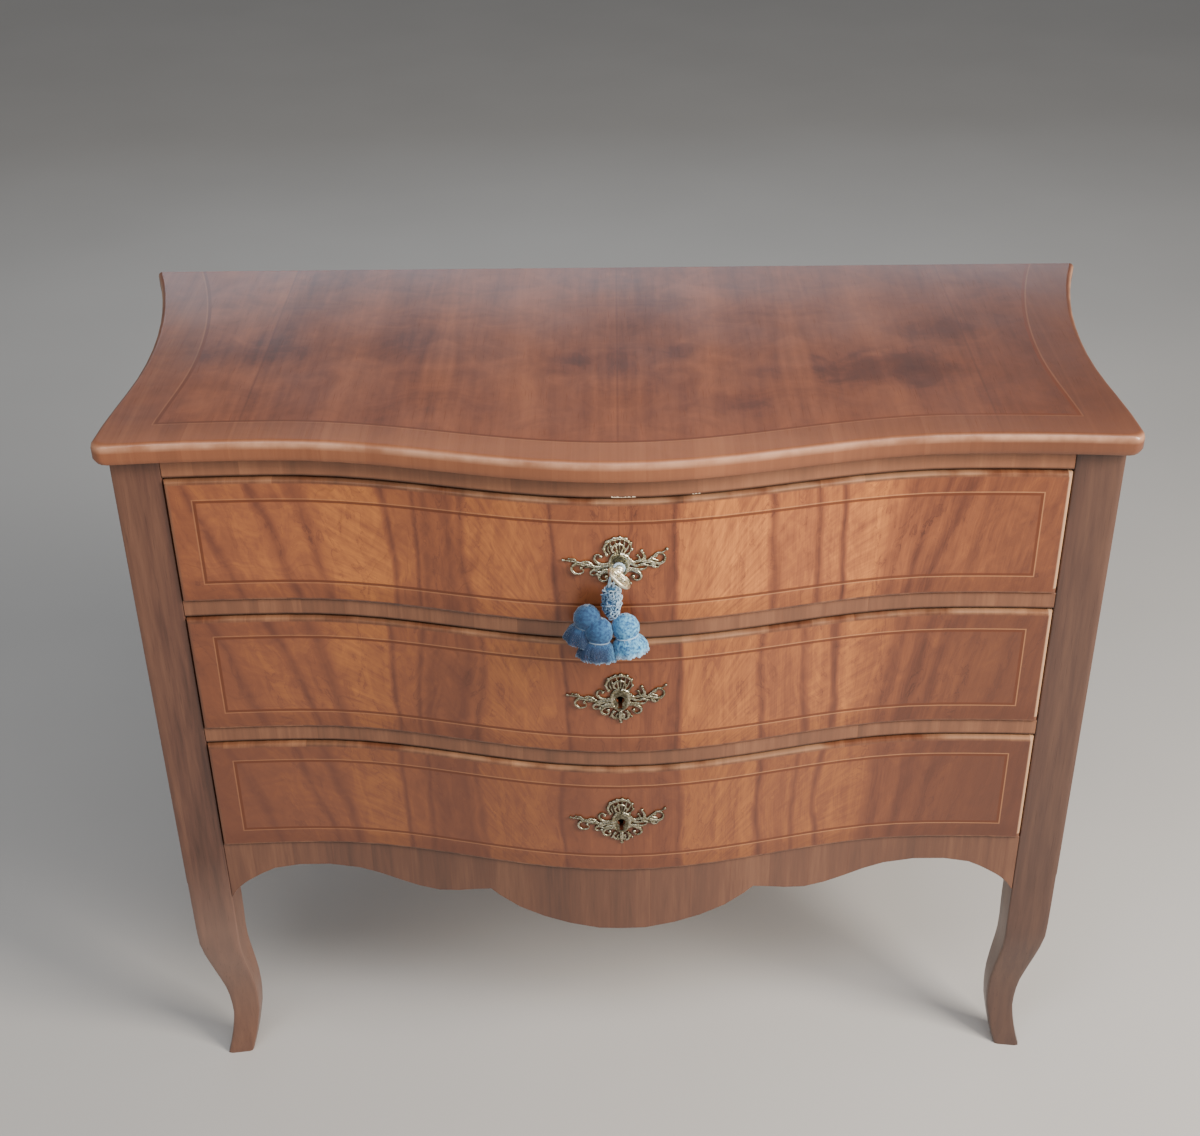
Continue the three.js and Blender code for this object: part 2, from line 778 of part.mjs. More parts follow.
function drawerBack() {
  const plank = board([-frontHalf, frontHalf], [backInner, drawerEnd], [backLow, sideHead]);
  const sockets = backTails(JOINT_GAP);
  return cut(plank, ...sockets, ...sockets.map(mirrored));
}

// Locks: a case let into the back of the drawer front, its top flush with the upper edge
const caseLow = keyholeRaise - CASE_DROP;

function lockBox(wall) {
  const half = CASE_WIDTH / 2 - wall;
  return board([-half, half], [lockFront + wall, lockBack - wall], [caseLow + wall, frontHead - wall]);
}

function keyholeShape() {
  const slot = KEYHOLE_SLOT_WIDTH / 2;
  const meet = Math.asin(slot / KEYHOLE_RADIUS);
  const foot = keyholeRaise - KEYHOLE_SLOT_DROP;
  const round = evenly(meet - Math.PI / 2, (3 * Math.PI) / 2 - meet, 4 * ARC_STEPS).map((angle) => [
    KEYHOLE_RADIUS * Math.cos(angle),
    keyholeRaise + KEYHOLE_RADIUS * Math.sin(angle),
  ]);
  return polygon([[slot, foot], ...round, [-slot, foot]]);
}

function keyhole(front, back) {
  return frontSolid(keyholeShape(), front, back);
}

function drawerFront() {
  const tails = frontTails(JOINT_GAP);
  const recess = board(
    [-CASE_WIDTH / 2 - JOINT_GAP, CASE_WIDTH / 2 + JOINT_GAP],
    [lockFront - JOINT_GAP, lockBack + BULGE],
    [caseLow - JOINT_GAP, frontHead + OVERRUN],
  );
  const hole = keyhole(faceY(0) - FRONT_PROUD - OVERRUN, lockFront + OVERRUN);
  return cut(frontBoard(), recess, hole, bottomPanel(JOINT_GAP), ...tails, ...tails.map(mirrored));
}

function boltPlate(grow) {
  const half = BOLT_WIDTH / 2 + grow;
  return board(
    [-half, half],
    [boltFront - grow, boltFront + BOLT_THICKNESS + grow],
    [keyholeRaise, frontHead + (grow ? OVERRUN : 0)],
  );
}

function lockCase() {
  const hole = keyhole(lockFront - OVERRUN, lockFront + CASE_WALL + OVERRUN);
  return cut(lockBox(0), lockBox(CASE_WALL), boltPlate(BOLT_GAP), hole);
}

// The bolt's lower edge arches over the circle that the key's bit sweeps.
function lockBolt() {
  const reach = BIT_REACH + BOLT_GAP;
  const arch = new THREE.CylinderGeometry(reach, reach, BOLT_THICKNESS + 2 * OVERRUN, 8 * ARC_STEPS);
  arch.translate(0, boltFront + BOLT_THICKNESS / 2, keyholeRaise + BOLT_SETTLE);
  return cut(boltPlate(0), arch);
}

// Escutcheons: scrolls of brass foliage round a shield with the keyhole. Each scroll is a
// tapering stroke through points given as shares of half the plate's width and height.
const stemShares = [[0.08, 0.02], [0.22, 0.2], [0.4, 0.13], [0.58, 0.03], [0.76, 0.16], [0.94, 0.56]];
const longStemShares = [[0.08, 0.02], [0.24, 0.16], [0.46, 0.03], [0.68, 0.06], [0.86, 0.16], [1.04, 0.2]];
const volutes = [
  { path: [[0.1, -0.2], [0.3, -0.2], [0.46, -0.32], [0.44, -0.58], [0.28, -0.64]], from: 0.07, to: 0.04 },
  { path: [[0.08, -0.24], [0.2, -0.6], [0.12, -0.86], [0, -0.98]], from: 0.065, to: 0.05 },
  { path: [[0.06, 0.2], [0.2, 0.38], [0.18, 0.54], [0.06, 0.6]], from: 0.06, to: 0.045 },
];
const rightWing = [
  { path: stemShares, from: 0.1, to: 0.03 },
  { path: [[0.56, 0.04], [0.74, -0.06], [0.88, 0.12], [0.86, 0.38], [0.72, 0.36]], from: 0.055, to: 0.035 },
  { path: [[0.38, 0.12], [0.48, 0.28], [0.47, 0.52]], from: 0.075, to: 0.02 },
  ...volutes,
];
const leftWing = [
  { path: longStemShares, from: 0.1, to: 0.025 },
  { path: [[0.5, 0.02], [0.6, -0.24], [0.72, -0.36], [0.78, -0.18]], from: 0.055, to: 0.035 },
  { path: [[0.3, 0.12], [0.42, 0.26], [0.44, 0.44], [0.34, 0.48]], from: 0.06, to: 0.035 },
  ...volutes,
];
const STROKE_STEPS = 4;
const CREST_LOBES = 5;
const crestRadiusShare = 0.24;
const crestRaiseShare = 0.62;

function stroke({ path, from, to }, side) {
  const spots = path.map(([u, v]) => {
    return new THREE.Vector2(side * u * PLATE_HALF_WIDTH, keyholeRaise + v * PLATE_HALF_HEIGHT);
  });
  const line = new THREE.SplineCurve(spots);
  const near = [];
  const far = [];
  for (const t of evenly(0, 1, STROKE_STEPS)) {
    const width = (from + (to - from) * t) * PLATE_HALF_WIDTH;
    const here = line.getPoint(t);
    const along = line.getTangent(t).multiplyScalar(width / 2);
    near.push([here.x - along.y, here.y + along.x]);
    far.unshift([here.x + along.y, here.y - along.x]);
  }
  return polygon([...near, ...far]);
}

function crest() {
  const radius = crestRadiusShare * PLATE_HALF_WIDTH;
  const raise = keyholeRaise + crestRaiseShare * PLATE_HALF_HEIGHT;
  const lobe = radius * Math.sin(Math.PI / 2 / CREST_LOBES);
  const outline = evenly(0, Math.PI, CREST_LOBES * 4).map((angle, i) => {
    const swell = lobe * Math.abs(Math.sin((Math.PI * i) / 4));
    return [(radius - lobe + swell) * Math.cos(angle), raise + (radius - lobe + swell) * Math.sin(angle)];
  });
  return polygon([...outline, [-radius / 4, raise - radius / 2], [radius / 4, raise - radius / 2]]);
}

function shield() {
  const rim = evenly(0, 2 * Math.PI, 6 * ARC_STEPS).slice(0, -1);
  return polygon(
    rim.map((angle) => [
      (SHIELD_WIDTH / 2) * Math.cos(angle),
      keyholeRaise - SHIELD_HEIGHT / 9 + (SHIELD_HEIGHT / 2) * Math.sin(angle),
    ]),
  );
}

// Bends a flat plate, drawn with its back at y = 0, on to the face of the drawer front.
function laidOnFront(geometry) {
  const place = geometry.attributes.position;
  for (let i = 0; i < place.count; i += 1) {
    place.setY(i, place.getY(i) + faceY(place.getX(i)) - FRONT_PROUD - SEAT_GAP);
  }
  return geometry;
}

function escutcheon() {
  const shapes = [
    shield(),
    crest(),
    ...rightWing.map((one) => stroke(one, 1)),
    ...leftWing.map((one) => stroke(one, -1)),
  ];
  const plate = join(...shapes.map((shape) => frontSolid(shape, -PLATE_THICKNESS, 0)));
  return laidOnFront(cut(plate, keyhole(-PLATE_THICKNESS - OVERRUN, OVERRUN)));
}

// Key: a turned shank with collars, a bit inside the lock and a pierced bow outside
const plateFace = faceY(0) - FRONT_PROUD - SEAT_GAP - PLATE_THICKNESS;
const keyTip = plateFace - KEY_REACH;
const bowRoot = keyTip + BOW_LENGTH;
const shankEnd = lockBack - CASE_WALL - SHANK_GAP;

function turnedAlongY(profile, sides) {
  const spots = profile.map(([radius, y]) => new THREE.Vector2(radius, y));
  return new THREE.LatheGeometry(spots, sides);
}

function bowShape() {
  const shape = new THREE.Shape();
  shape.absellipse(0, keyTip + BOW_LENGTH / 2, BOW_WIDTH / 2, BOW_LENGTH / 2, 0, 2 * Math.PI);
  for (const side of [-1, 1]) {
    const hole = new THREE.Path();
    const across = BOW_WIDTH / 4;
    const wide = BOW_WIDTH / 4 - (3 * BOW_RIM) / 4;
    const long = BOW_LENGTH / 2 - (3 * BOW_RIM) / 2;
    hole.absellipse(side * across, keyTip + BOW_LENGTH / 2, wide, long, 0, 2 * Math.PI);
    shape.holes.push(hole);
  }
  return shape;
}

function keyBody() {
  const shank = turnedAlongY(
    [
      [0, bowRoot - BOW_RIM],
      [SHANK_RADIUS, bowRoot - BOW_RIM],
      [SHANK_RADIUS, bowRoot],
      [COLLAR_RADIUS, bowRoot + COLLAR_LENGTH / 3],
      [COLLAR_RADIUS, bowRoot + (2 * COLLAR_LENGTH) / 3],
      [SHANK_RADIUS, bowRoot + COLLAR_LENGTH],
      [SHANK_RADIUS, shankEnd],
      [0, shankEnd],
    ],
    4 * ARC_STEPS,
  );
  const bow = new THREE.ExtrudeGeometry(bowShape(), {
    depth: BOW_THICKNESS,
    bevelEnabled: false,
    curveSegments: 3 * ARC_STEPS,
  });
  bow.translate(0, 0, -BOW_THICKNESS / 2);
  const bit = board(
    [0, BIT_REACH],
    [boltFront, boltFront + BOLT_THICKNESS],
    [-BIT_THICKNESS / 2, BIT_THICKNESS / 2],
  );
  const whole = join(shank, bow, bit);
  return whole.rotateY(THREE.MathUtils.degToRad(BOW_TILT)).translate(0, 0, keyholeRaise);
}

// Tassel: a cord looped round the shank, a bound head, and three tufts below it
const cordY = plateFace - CORD_STANDOFF;
const headTop = keyholeRaise - TASSEL_DROP;
const headY = cordY - HEAD_RADIUS;
const headX = -HEAD_RADIUS;

// Both ends of the loop enter the head side by side; the route is chosen by hand.
const cordRoute = [
  [-10.4, 2, 0],
  [-10.4, 2.1, 2],
  [-9.6, 5, 6.5],
  [-7.8, 7.4, 12],
  [-5.7, 8, 16.8],
  [-4.7, 8, 21.2],
  [-2.2, 8, 23.8],
  [0.6, 8, 24.2],
  [3.4, 8, 22.9],
  [5.1, 8, 20.2],
  [5, 8, 17.4],
  [3.5, 8, 14.9],
  [0, 7.4, 12],
  [-3.6, 5.4, 7.4],
  [-6, 2.1, 2],
  [-6, 2, 0],
];

function tasselLoop() {
  const route = cordRoute.map(([x, y, z]) => point(x, headY + y, headTop + z + JOINT_GAP));
  const line = new THREE.CatmullRomCurve3(route);
  const radius = CORD_DIAMETER / 2;
  const round = evenly(0, 2 * Math.PI, 8).slice(0, -1);
  const section = polygon(round.map((angle) => [radius * Math.cos(angle), radius * Math.sin(angle)]));
  return new THREE.ExtrudeGeometry(section, { steps: CORD_STEPS, bevelEnabled: false, extrudePath: line });
}

// Radius and depth of the head below its top, as shares of its radius and length.
const headShares = [
  [0, 0],
  [0.62, 0],
  [0.85, 0.1],
  [0.8, 0.22],
  [1, 0.32],
  [0.88, 0.42],
  [1, 0.55],
  [0.82, 0.7],
  [0.6, 0.88],
  [0.35, 1],
  [0, 1],
];

// Radius and depth of a tuft below its top: a round bound head and a flared skirt.
const tuftShares = [
  [0, 0],
  [0.45, 0.04],
  [0.82, 0.18],
  [0.95, 0.36],
  [0.86, 0.5],
  [0.78, 0.57],
  [0.92, 0.72],
  [1.04, 0.9],
  [1, 1],
  [0, 0.97],
];

function turnedDown(shares, radius, length, sides) {
  const spots = shares.map(([r, z]) => new THREE.Vector2(r * radius, -z * length)).reverse();
  return facingOut(merged(new THREE.LatheGeometry(spots, sides))).rotateX(Math.PI / 2);
}

function tasselHead() {
  const made = turnedDown(headShares, HEAD_RADIUS, HEAD_LENGTH, 4 * ARC_STEPS);
  return made.translate(headX, headY, headTop);
}

// Where each tuft hangs, as shares of the tuft's radius from the middle of the head, how it
// leans to the left and tips forward in degrees, and its size as a share of the largest.
const tuftPlaces = {
  middle: { share: 1, x: -0.72, y: -0.45, z: -0.4, lean: 8, tip: 8 },
  right: { share: 0.86, x: 0.62, y: -0.12, z: -0.22, lean: -16, tip: 2 },
  left: { share: 0.86, x: -0.86, y: -0.1, z: 0.1, lean: 44, tip: 2 },
};

function tuft({ share, x, y, z, lean, tip }, grow) {
  const radius = TUFT_RADIUS * share + grow;
  const made = turnedDown(tuftShares, radius, TUFT_LENGTH * share + 2 * grow, 4 * ARC_STEPS);
  made.translate(0, 0, grow);
  made.rotateX(THREE.MathUtils.degToRad(-tip));
  made.rotateY(THREE.MathUtils.degToRad(lean));
  const middle = headTop - HEAD_LENGTH / 2;
  return made.translate(headX + x * TUFT_RADIUS, headY + y * TUFT_RADIUS, middle + z * TUFT_RADIUS);
}

function headRoom() {
  const made = turnedDown(headShares, HEAD_RADIUS + JOINT_GAP, HEAD_LENGTH + 2 * JOINT_GAP, 4 * ARC_STEPS);
  return made.translate(headX, headY, headTop + JOINT_GAP);
}

function tufts() {
  const { middle, right, left } = tuftPlaces;
  const head = headRoom();
  const middleRoom = tuft(middle, JOINT_GAP);
  return {
    middle: cut(tuft(middle, 0), head),
    right: cut(tuft(right, 0), head, middleRoom),
    left: cut(tuft(left, 0), head, middleRoom, tuft(right, JOINT_GAP)),
  };
}

// Assembly
const chest = new THREE.Group();
const frame = new THREE.Group();
frame.position.y = -(keyTip + topBack) / 2;
chest.add(frame);

function piece(group, name, geometry, finish) {
  const mesh = new THREE.Mesh(geometry, new THREE.MeshStandardMaterial({ ...finish, flatShading: true }));
  mesh.name = name;
  group.add(mesh);
}

function pair(group, name, geometry, finish) {
  piece(group, `${name}_left`, mirrored(geometry), finish);
  piece(group, `${name}_right`, geometry, finish);
}

function addCarcase() {
  const grooves = panelGrooves();
  const friezeLow = carcaseTop - FRIEZE_HEIGHT;
  const frontMortises = [
    railTenon(friezeLow, carcaseTop, JOINT_GAP),
    ...openings.slice(0, 2).map((low) => railTenon(low - RAIL_THICKNESS, low, JOINT_GAP)),
    apronTenon(JOINT_GAP),
  ];
  piece(frame, "top", topBoard(), topWalnut);
  pair(frame, "front_post", cut(frontPost(), grooves.ahead, ...frontMortises), walnut);
  pair(frame, "rear_post", cut(rearPost(), grooves.behind, backRebate()), walnut);
  pair(frame, "side_panel", sidePanel(), walnut);
  piece(frame, "top_rail", tenonedRail(friezeLow, carcaseTop, [boltMortise(friezeLow)]), walnut);
  piece(frame, "upper_divider_rail", dividerRail(openings[0]), walnut);
  piece(frame, "lower_divider_rail", dividerRail(openings[1]), walnut);
  piece(frame, "bottom_front_rail", bottomFrontRail(), plainWood);
  piece(frame, "apron", apronBoard(), walnut);
  piece(frame, "top_rear_rail", rearRail(friezeLow, carcaseTop), plainWood);
  piece(frame, "bottom_rear_rail", rearRail(backFoot, apronTop - RAIL_THICKNESS - JOINT_GAP), plainWood);
  for (let i = 0; i < BACKBOARDS; i += 1) {
    piece(frame, `backboard_${i + 1}`, backboard(i), plainWood);
  }
  openings.forEach((low, i) => {
    pair(frame, `runner_${i + 1}`, runner(low, backboardFront - JOINT_GAP), plainWood);
  });
  pair(frame, "kicker", sideStrip(rearRailFront - JOINT_GAP, friezeLow, carcaseTop), plainWood);
}

const drawerPieces = {
  front: [drawerFront(), frontVeneer],
  back: [drawerBack(), plainWood],
  bottom: [bottomPanel(0), plainWood],
  lock_case: [lockCase(), iron],
  lock_bolt: [lockBolt(), iron],
  escutcheon: [escutcheon(), agedBrass],
};

function addDrawer(number, low) {
  const drawer = new THREE.Group();
  drawer.position.z = low;
  frame.add(drawer);
  pair(drawer, `drawer_${number}_side`, drawerSide(), plainWood);
  for (const [name, [geometry, finish]] of Object.entries(drawerPieces)) {
    piece(drawer, `drawer_${number}_${name}`, geometry, finish);
  }
  return drawer;
}

function addKeyAndTassel(drawer) {
  piece(drawer, "key", keyBody(), brightBrass);
  piece(drawer, "tassel_loop", tasselLoop(), blueYarn);
  piece(drawer, "tassel_head", tasselHead(), blueYarn);
  for (const [name, geometry] of Object.entries(tufts())) {
    piece(drawer, `tassel_tuft_${name}`, geometry, blueYarn);
  }
}

addCarcase();
const drawers = openings.map((low, i) => addDrawer(i + 1, low));
addKeyAndTassel(drawers[0]);

export default chest;
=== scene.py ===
# %% [markdown]
# # A serpentine chest of three drawers
# A walnut chest stands on four curved legs. Its top, rails, drawer fronts and apron are all bent to
# one serpentine line, and its face is covered with thin sheets of figured wood. This lesson dresses
# the plain solids of the chest: each visible solid gets its small edges and its finish, and the
# mounts, the key and the tassel are modelled anew.
#
# Everything is in metres. The chest stands on z = 0, its front looks along -y, and x = 0 is the
# line that the left and the right half mirror.

import json
import math
import random

import bpy
from mathutils import Matrix, Vector

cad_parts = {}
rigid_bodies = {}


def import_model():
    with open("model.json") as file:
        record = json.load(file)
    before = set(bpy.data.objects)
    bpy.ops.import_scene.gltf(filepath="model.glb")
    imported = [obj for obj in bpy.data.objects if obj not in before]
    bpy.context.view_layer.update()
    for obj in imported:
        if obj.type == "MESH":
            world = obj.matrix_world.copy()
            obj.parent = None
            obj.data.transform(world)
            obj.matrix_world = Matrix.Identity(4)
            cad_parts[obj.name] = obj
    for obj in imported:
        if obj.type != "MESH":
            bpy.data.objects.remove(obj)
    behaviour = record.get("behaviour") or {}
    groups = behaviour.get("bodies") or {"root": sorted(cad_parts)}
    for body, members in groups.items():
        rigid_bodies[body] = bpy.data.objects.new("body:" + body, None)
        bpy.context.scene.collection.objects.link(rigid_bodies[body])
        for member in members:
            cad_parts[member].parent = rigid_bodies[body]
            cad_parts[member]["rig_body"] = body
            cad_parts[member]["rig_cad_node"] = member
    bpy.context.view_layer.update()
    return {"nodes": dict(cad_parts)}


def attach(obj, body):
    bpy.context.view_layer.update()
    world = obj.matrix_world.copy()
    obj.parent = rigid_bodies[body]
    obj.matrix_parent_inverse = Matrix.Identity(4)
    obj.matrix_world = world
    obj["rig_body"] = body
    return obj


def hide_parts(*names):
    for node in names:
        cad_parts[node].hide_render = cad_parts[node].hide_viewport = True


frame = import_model()
solids = frame["nodes"]

# %% [markdown]
# ## The camera
# The chest was seen by someone standing in front of it and looking down on it. The four edges of
# the posts, which are upright, lean together towards the floor, and they give the tilt and the
# lens.

# %% Set up the camera
CAMERA_PLACE = (0, -1.735, 1.714)
CAMERA_TILT = math.radians(58)
CAMERA_ROLL = math.radians(-0.55)
LENS, SENSOR = 51.96, 36
SHIFT = -0.0158

camera_data = bpy.data.cameras.new("viewpoint")
camera_data.lens = LENS
camera_data.sensor_width = SENSOR
camera_data.shift_x = SHIFT
camera = bpy.data.objects.new("viewpoint", camera_data)
bpy.context.scene.collection.objects.link(camera)
camera.matrix_world = (
    Matrix.Translation(CAMERA_PLACE)
    @ Matrix.Rotation(CAMERA_TILT, 4, "X")
    @ Matrix.Rotation(CAMERA_ROLL, 4, "Z")
)
bpy.context.scene.camera = camera
print("camera at", CAMERA_PLACE)


# %% [markdown]
# ## The line that the whole chest follows
# On the real chest one template served for every rail and every drawer. One formula stands for it
# here: how far forward the rails' face is at a distance x from the middle. It is a wave over the
# bow and a shallow curve out to the corner. The drawers stand a little proud of the rails. The
# mounts are laid on this line, and the string of the top runs beside it.

# %% Write down the serpentine
HOLLOW_HALF = 0.355
BOW = 0.054
CORNER_FALL = 0.008
CORNER_RUN = 0.168
FACE_BACK = -0.1682
DRAWER_PROUD = 0.004
KEYHOLE = 0.7755
DRAWER_PITCH = 0.171


def rail_y(x):
    """How far forward the rails' face is, at a distance x from the middle."""
    x = abs(x)
    if x < HOLLOW_HALF:
        return FACE_BACK - BOW * math.cos(math.pi / 2 * x / HOLLOW_HALF) ** 2
    return FACE_BACK - CORNER_FALL * ((x - HOLLOW_HALF) / CORNER_RUN) ** 2


def drawer_y(x):
    """How far forward the drawers' face is."""
    return rail_y(x) - DRAWER_PROUD


print("drawers bow out by", round(drawer_y(0) - drawer_y(HOLLOW_HALF), 4))


# %% [markdown]
# ## Picking objects and working on them
# Blender's operators act on whatever is selected. These small helpers pick one object or several,
# open and close edit mode, and apply a modifier, so that each later step reads as it would be done
# by hand.

# %% Helpers for picking and shaping
def pick(*objects):
    """Selects these objects and nothing else. The last one is active."""
    if bpy.context.object and bpy.context.object.mode != "OBJECT":
        bpy.ops.object.mode_set(mode="OBJECT")
    bpy.ops.object.select_all(action="DESELECT")
    for item in objects:
        item.select_set(True)
    bpy.context.view_layer.objects.active = objects[-1]
    return objects[-1]


def edit(item):
    """Opens edit mode on one object, with all of it selected."""
    pick(item)
    bpy.ops.object.mode_set(mode="EDIT")
    bpy.ops.mesh.select_all(action="SELECT")


def close():
    """Back to object mode."""
    bpy.ops.object.mode_set(mode="OBJECT")


def modify(item, kind, **settings):
    """Adds a modifier with these settings and applies it."""
    pick(item)
    modifier = item.modifiers.new(kind.title(), kind)
    for setting, value in settings.items():
        setattr(modifier, setting, value)
    bpy.ops.object.modifier_apply(modifier=modifier.name)
    return item


# %% [markdown]
# ## Short words for patterns
# A finish is a web of nodes. The class below gives the nodes that make a pattern short names: a
# place, a sum, a noise, a span. All patterns are placed by Object coordinates, which are metres
# from the foot of the chest, because no piece is moved or scaled.

# %% The pattern helper
class Pattern:
    """A material being mixed, with short words for the nodes that make patterns."""

    def __init__(self, name, **values):
        self.material = bpy.data.materials.new(name)
        self.material.use_nodes = True
        self.nodes = self.material.node_tree.nodes
        self.links = self.material.node_tree.links
        self.shader = self.nodes["Principled BSDF"]
        self.place = self.nodes.new("ShaderNodeTexCoord").outputs["Object"]
        for word, value in values.items():
            self.give(self.shader.inputs[word.replace("_", " ")], value)

    def give(self, socket, value):
        """Sets a socket to a value, or joins it to another node."""
        if isinstance(value, bpy.types.NodeSocket):
            self.links.new(value, socket)
        else:
            socket.default_value = value

    def axes(self):
        """x, y and z of a place, each by itself."""
        node = self.nodes.new("ShaderNodeSeparateXYZ")
        self.give(node.inputs[0], self.place)
        return node.outputs

    def point(self, x, y, z):
        """A place put together from x, y and z."""
        node = self.nodes.new("ShaderNodeCombineXYZ")
        for socket, value in zip(node.inputs, (x, y, z)):
            self.give(socket, value)
        return node.outputs[0]

    def stretch(self, scale, where=None):
        """The place, stretched for a pattern."""
        node = self.nodes.new("ShaderNodeMapping")
        self.give(node.inputs["Vector"], where or self.place)
        node.inputs["Scale"].default_value = scale
        return node.outputs[0]

    def noise(self, scale, where=None, detail=3.0, warp=0.0, roughness=0.5):
        """A cloudy pattern, from 0 to 1 with its middle at 0.5."""
        node = self.nodes.new("ShaderNodeTexNoise")
        self.give(node.inputs["Vector"], where or self.place)
        values = {"Scale": scale, "Detail": detail, "Distortion": warp, "Roughness": roughness}
        for word, value in values.items():
            self.give(node.inputs[word], value)
        return node.outputs["Fac"]

    def span(self, value, low, high, to_low=0.0, to_high=1.0, smooth=False):
        """Stretches a value from one span to another and holds it there."""
        node = self.nodes.new("ShaderNodeMapRange")
        node.interpolation_type = "SMOOTHSTEP" if smooth else "LINEAR"
        for socket, number in zip(node.inputs, (value, low, high, to_low, to_high)):
            self.give(socket, number)
        return node.outputs[0]


# %% [markdown]
# ## Short words for sums
# A shader reckons with one Math node for each step. With a word for each kind of step, a pattern
# reads like a sentence: the size of x, minus a half, times the lean. The two questions, is_over and
# is_under, answer 1 for yes and 0 for no, and serve as masks.

# %% The sums of a pattern
class Sums(Pattern):
    """A pattern with short words for arithmetic."""

    def math(self, kind, a, b=0.0, c=0.0):
        """One step of arithmetic, by the name that Blender gives it."""
        node = self.nodes.new("ShaderNodeMath")
        node.operation = kind
        for socket, value in zip(node.inputs, (a, b, c)):
            self.give(socket, value)
        return node.outputs[0]

    def plus(self, a, b):
        return self.math("ADD", a, b)

    def minus(self, a, b):
        return self.math("SUBTRACT", a, b)

    def times(self, a, b):
        return self.math("MULTIPLY", a, b)

    def times_plus(self, a, b, more):
        return self.math("MULTIPLY_ADD", a, b, more)

    def over(self, a, b):
        return self.math("DIVIDE", a, b)

    def larger(self, a, b):
        return self.math("MAXIMUM", a, b)

    def smaller(self, a, b):
        return self.math("MINIMUM", a, b)

    def size(self, a):
        return self.math("ABSOLUTE", a)

    def whole(self, a):
        return self.math("FLOOR", a)

    def fold(self, a, width):
        """Runs up to the width and down again, over and over, as a folded sheet does."""
        return self.math("PINGPONG", a, width)

    def wrap(self, a, width):
        """Starts again from 0 after each width."""
        return self.math("WRAP", a, width, 0.0)

    def is_over(self, a, b):
        return self.math("GREATER_THAN", a, b)

    def is_under(self, a, b):
        return self.math("LESS_THAN", a, b)


# %% [markdown]
# ## Colours, relief and polish
# The last words turn a pattern into what the eye sees: a ramp gives it colours, a mix lays one
# colour over another, a bump gives it relief. The depth behind the bowed face is reckoned here too,
# because veneer ends at a certain depth and brass is bright where it stands off the wood.

# %% The finish helper
class Finish(Sums):
    """A finish being mixed, with short words for its colours and its relief."""

    def ramp(self, value, stops):
        """Colours or shades along a value. Each stop is a place and a colour or a shade."""
        node = self.nodes.new("ShaderNodeValToRGB")
        marks = node.color_ramp.elements
        while len(marks) < len(stops):
            marks.new(0.5)
        for mark, (at, colour) in zip(marks, stops):
            mark.position = at
        for mark, (at, colour) in zip(marks, stops):
            mark.color = (colour, colour, colour, 1) if isinstance(colour, float) else (*colour, 1)
        self.give(node.inputs[0], value)
        return node.outputs[0]

    def mix(self, share, a, b):
        """Two colours mixed by a share."""
        node = self.nodes.new("ShaderNodeMix")
        node.data_type = "RGBA"
        for index, value in ((0, share), (6, a), (7, b)):
            if isinstance(value, tuple):
                value = (*value, 1)
            self.give(node.inputs[index], value)
        return node.outputs[2]

    def bump(self, height, distance, strength):
        """A fine relief on the surface."""
        node = self.nodes.new("ShaderNodeBump")
        self.give(node.inputs["Height"], height)
        node.inputs["Distance"].default_value = distance
        node.inputs["Strength"].default_value = strength
        self.give(self.shader.inputs["Normal"], node.outputs[0])

    def behind(self, proud):
        """How far a place lies behind the bowed face of the front, in metres."""
        x, y, z = self.axes()
        angle = self.smaller(self.times(self.size(x), math.pi / 2 / HOLLOW_HALF), math.pi / 2)
        swing = self.math("COSINE", angle)
        face = self.times_plus(self.times(swing, swing), -BOW, FACE_BACK - proud)
        return self.minus(y, face)

    def paint(self, colour, roughness):
        """Joins the colour and the roughness to the shader."""
        self.give(self.shader.inputs["Base Color"], colour)
        self.give(self.shader.inputs["Roughness"], roughness)
        print("finish:", self.material.name, len(self.nodes), "nodes")
        return self.material


def tone(red, green, blue):
    """A colour as it is read off a colour chart (0 to 255), in the numbers that a shader wants."""
    return tuple(
        value / 12.92 if value <= 0.04045 else ((value + 0.055) / 1.055) ** 2.4
        for value in (red / 255, green / 255, blue / 255)
    )


# %% [markdown]
# ## Walnut
# All of the face is walnut, from straight and plain on the stiles to swirling on the top. One
# recipe carries them all. A first noise, drawn out along the grain, gives the broad light and
# dark; a second, finer and longer one gives the streaks; a third, finer still, the pores, which are
# dark and lie a little below the polish. The recipe returns a depth of colour from 0 to 1, and
# each finish turns it into its own browns.

# %% The grain of walnut
ALONG = {"x": (0.07, 1, 1), "y": (1, 0.07, 1), "z": (1, 1, 0.07)}
PORES_ALONG = {"x": (0.03, 1, 1), "y": (1, 0.03, 1), "z": (1, 1, 0.03)}
WALNUT_DARK = tone(76, 36, 22)
WALNUT_DEEP = tone(114, 62, 40)
WALNUT_MID = tone(156, 90, 52)
WALNUT_BRIGHT = tone(226, 140, 64)


def grain(finish, along, broad=22, streaks=150, where=None):
    """The depth of colour of plain walnut, and its pores, both from 0 to 1."""
    wavy = finish.stretch(ALONG[along], where=where)
    cloud = finish.noise(broad, wavy, detail=4, warp=0.6)
    streak = finish.noise(streaks, wavy, detail=5, warp=0.3, roughness=0.6)
    both = finish.times_plus(cloud, 0.6, finish.times(streak, 0.4))
    pore = finish.noise(900, finish.stretch(PORES_ALONG[along], where=where), detail=2)
    return finish.span(both, 0.32, 0.68), finish.span(pore, 0.62, 0.74)


def polish(finish, pores, low=0.30, high=0.46):
    """The roughness of old shellac: clouds of dull and bright, duller in the pores."""
    worn = finish.noise(7, detail=5)
    return finish.times_plus(pores, 0.12, finish.span(worn, 0.3, 0.7, low, high))


print("walnut from", WALNUT_DARK, "to", WALNUT_BRIGHT)

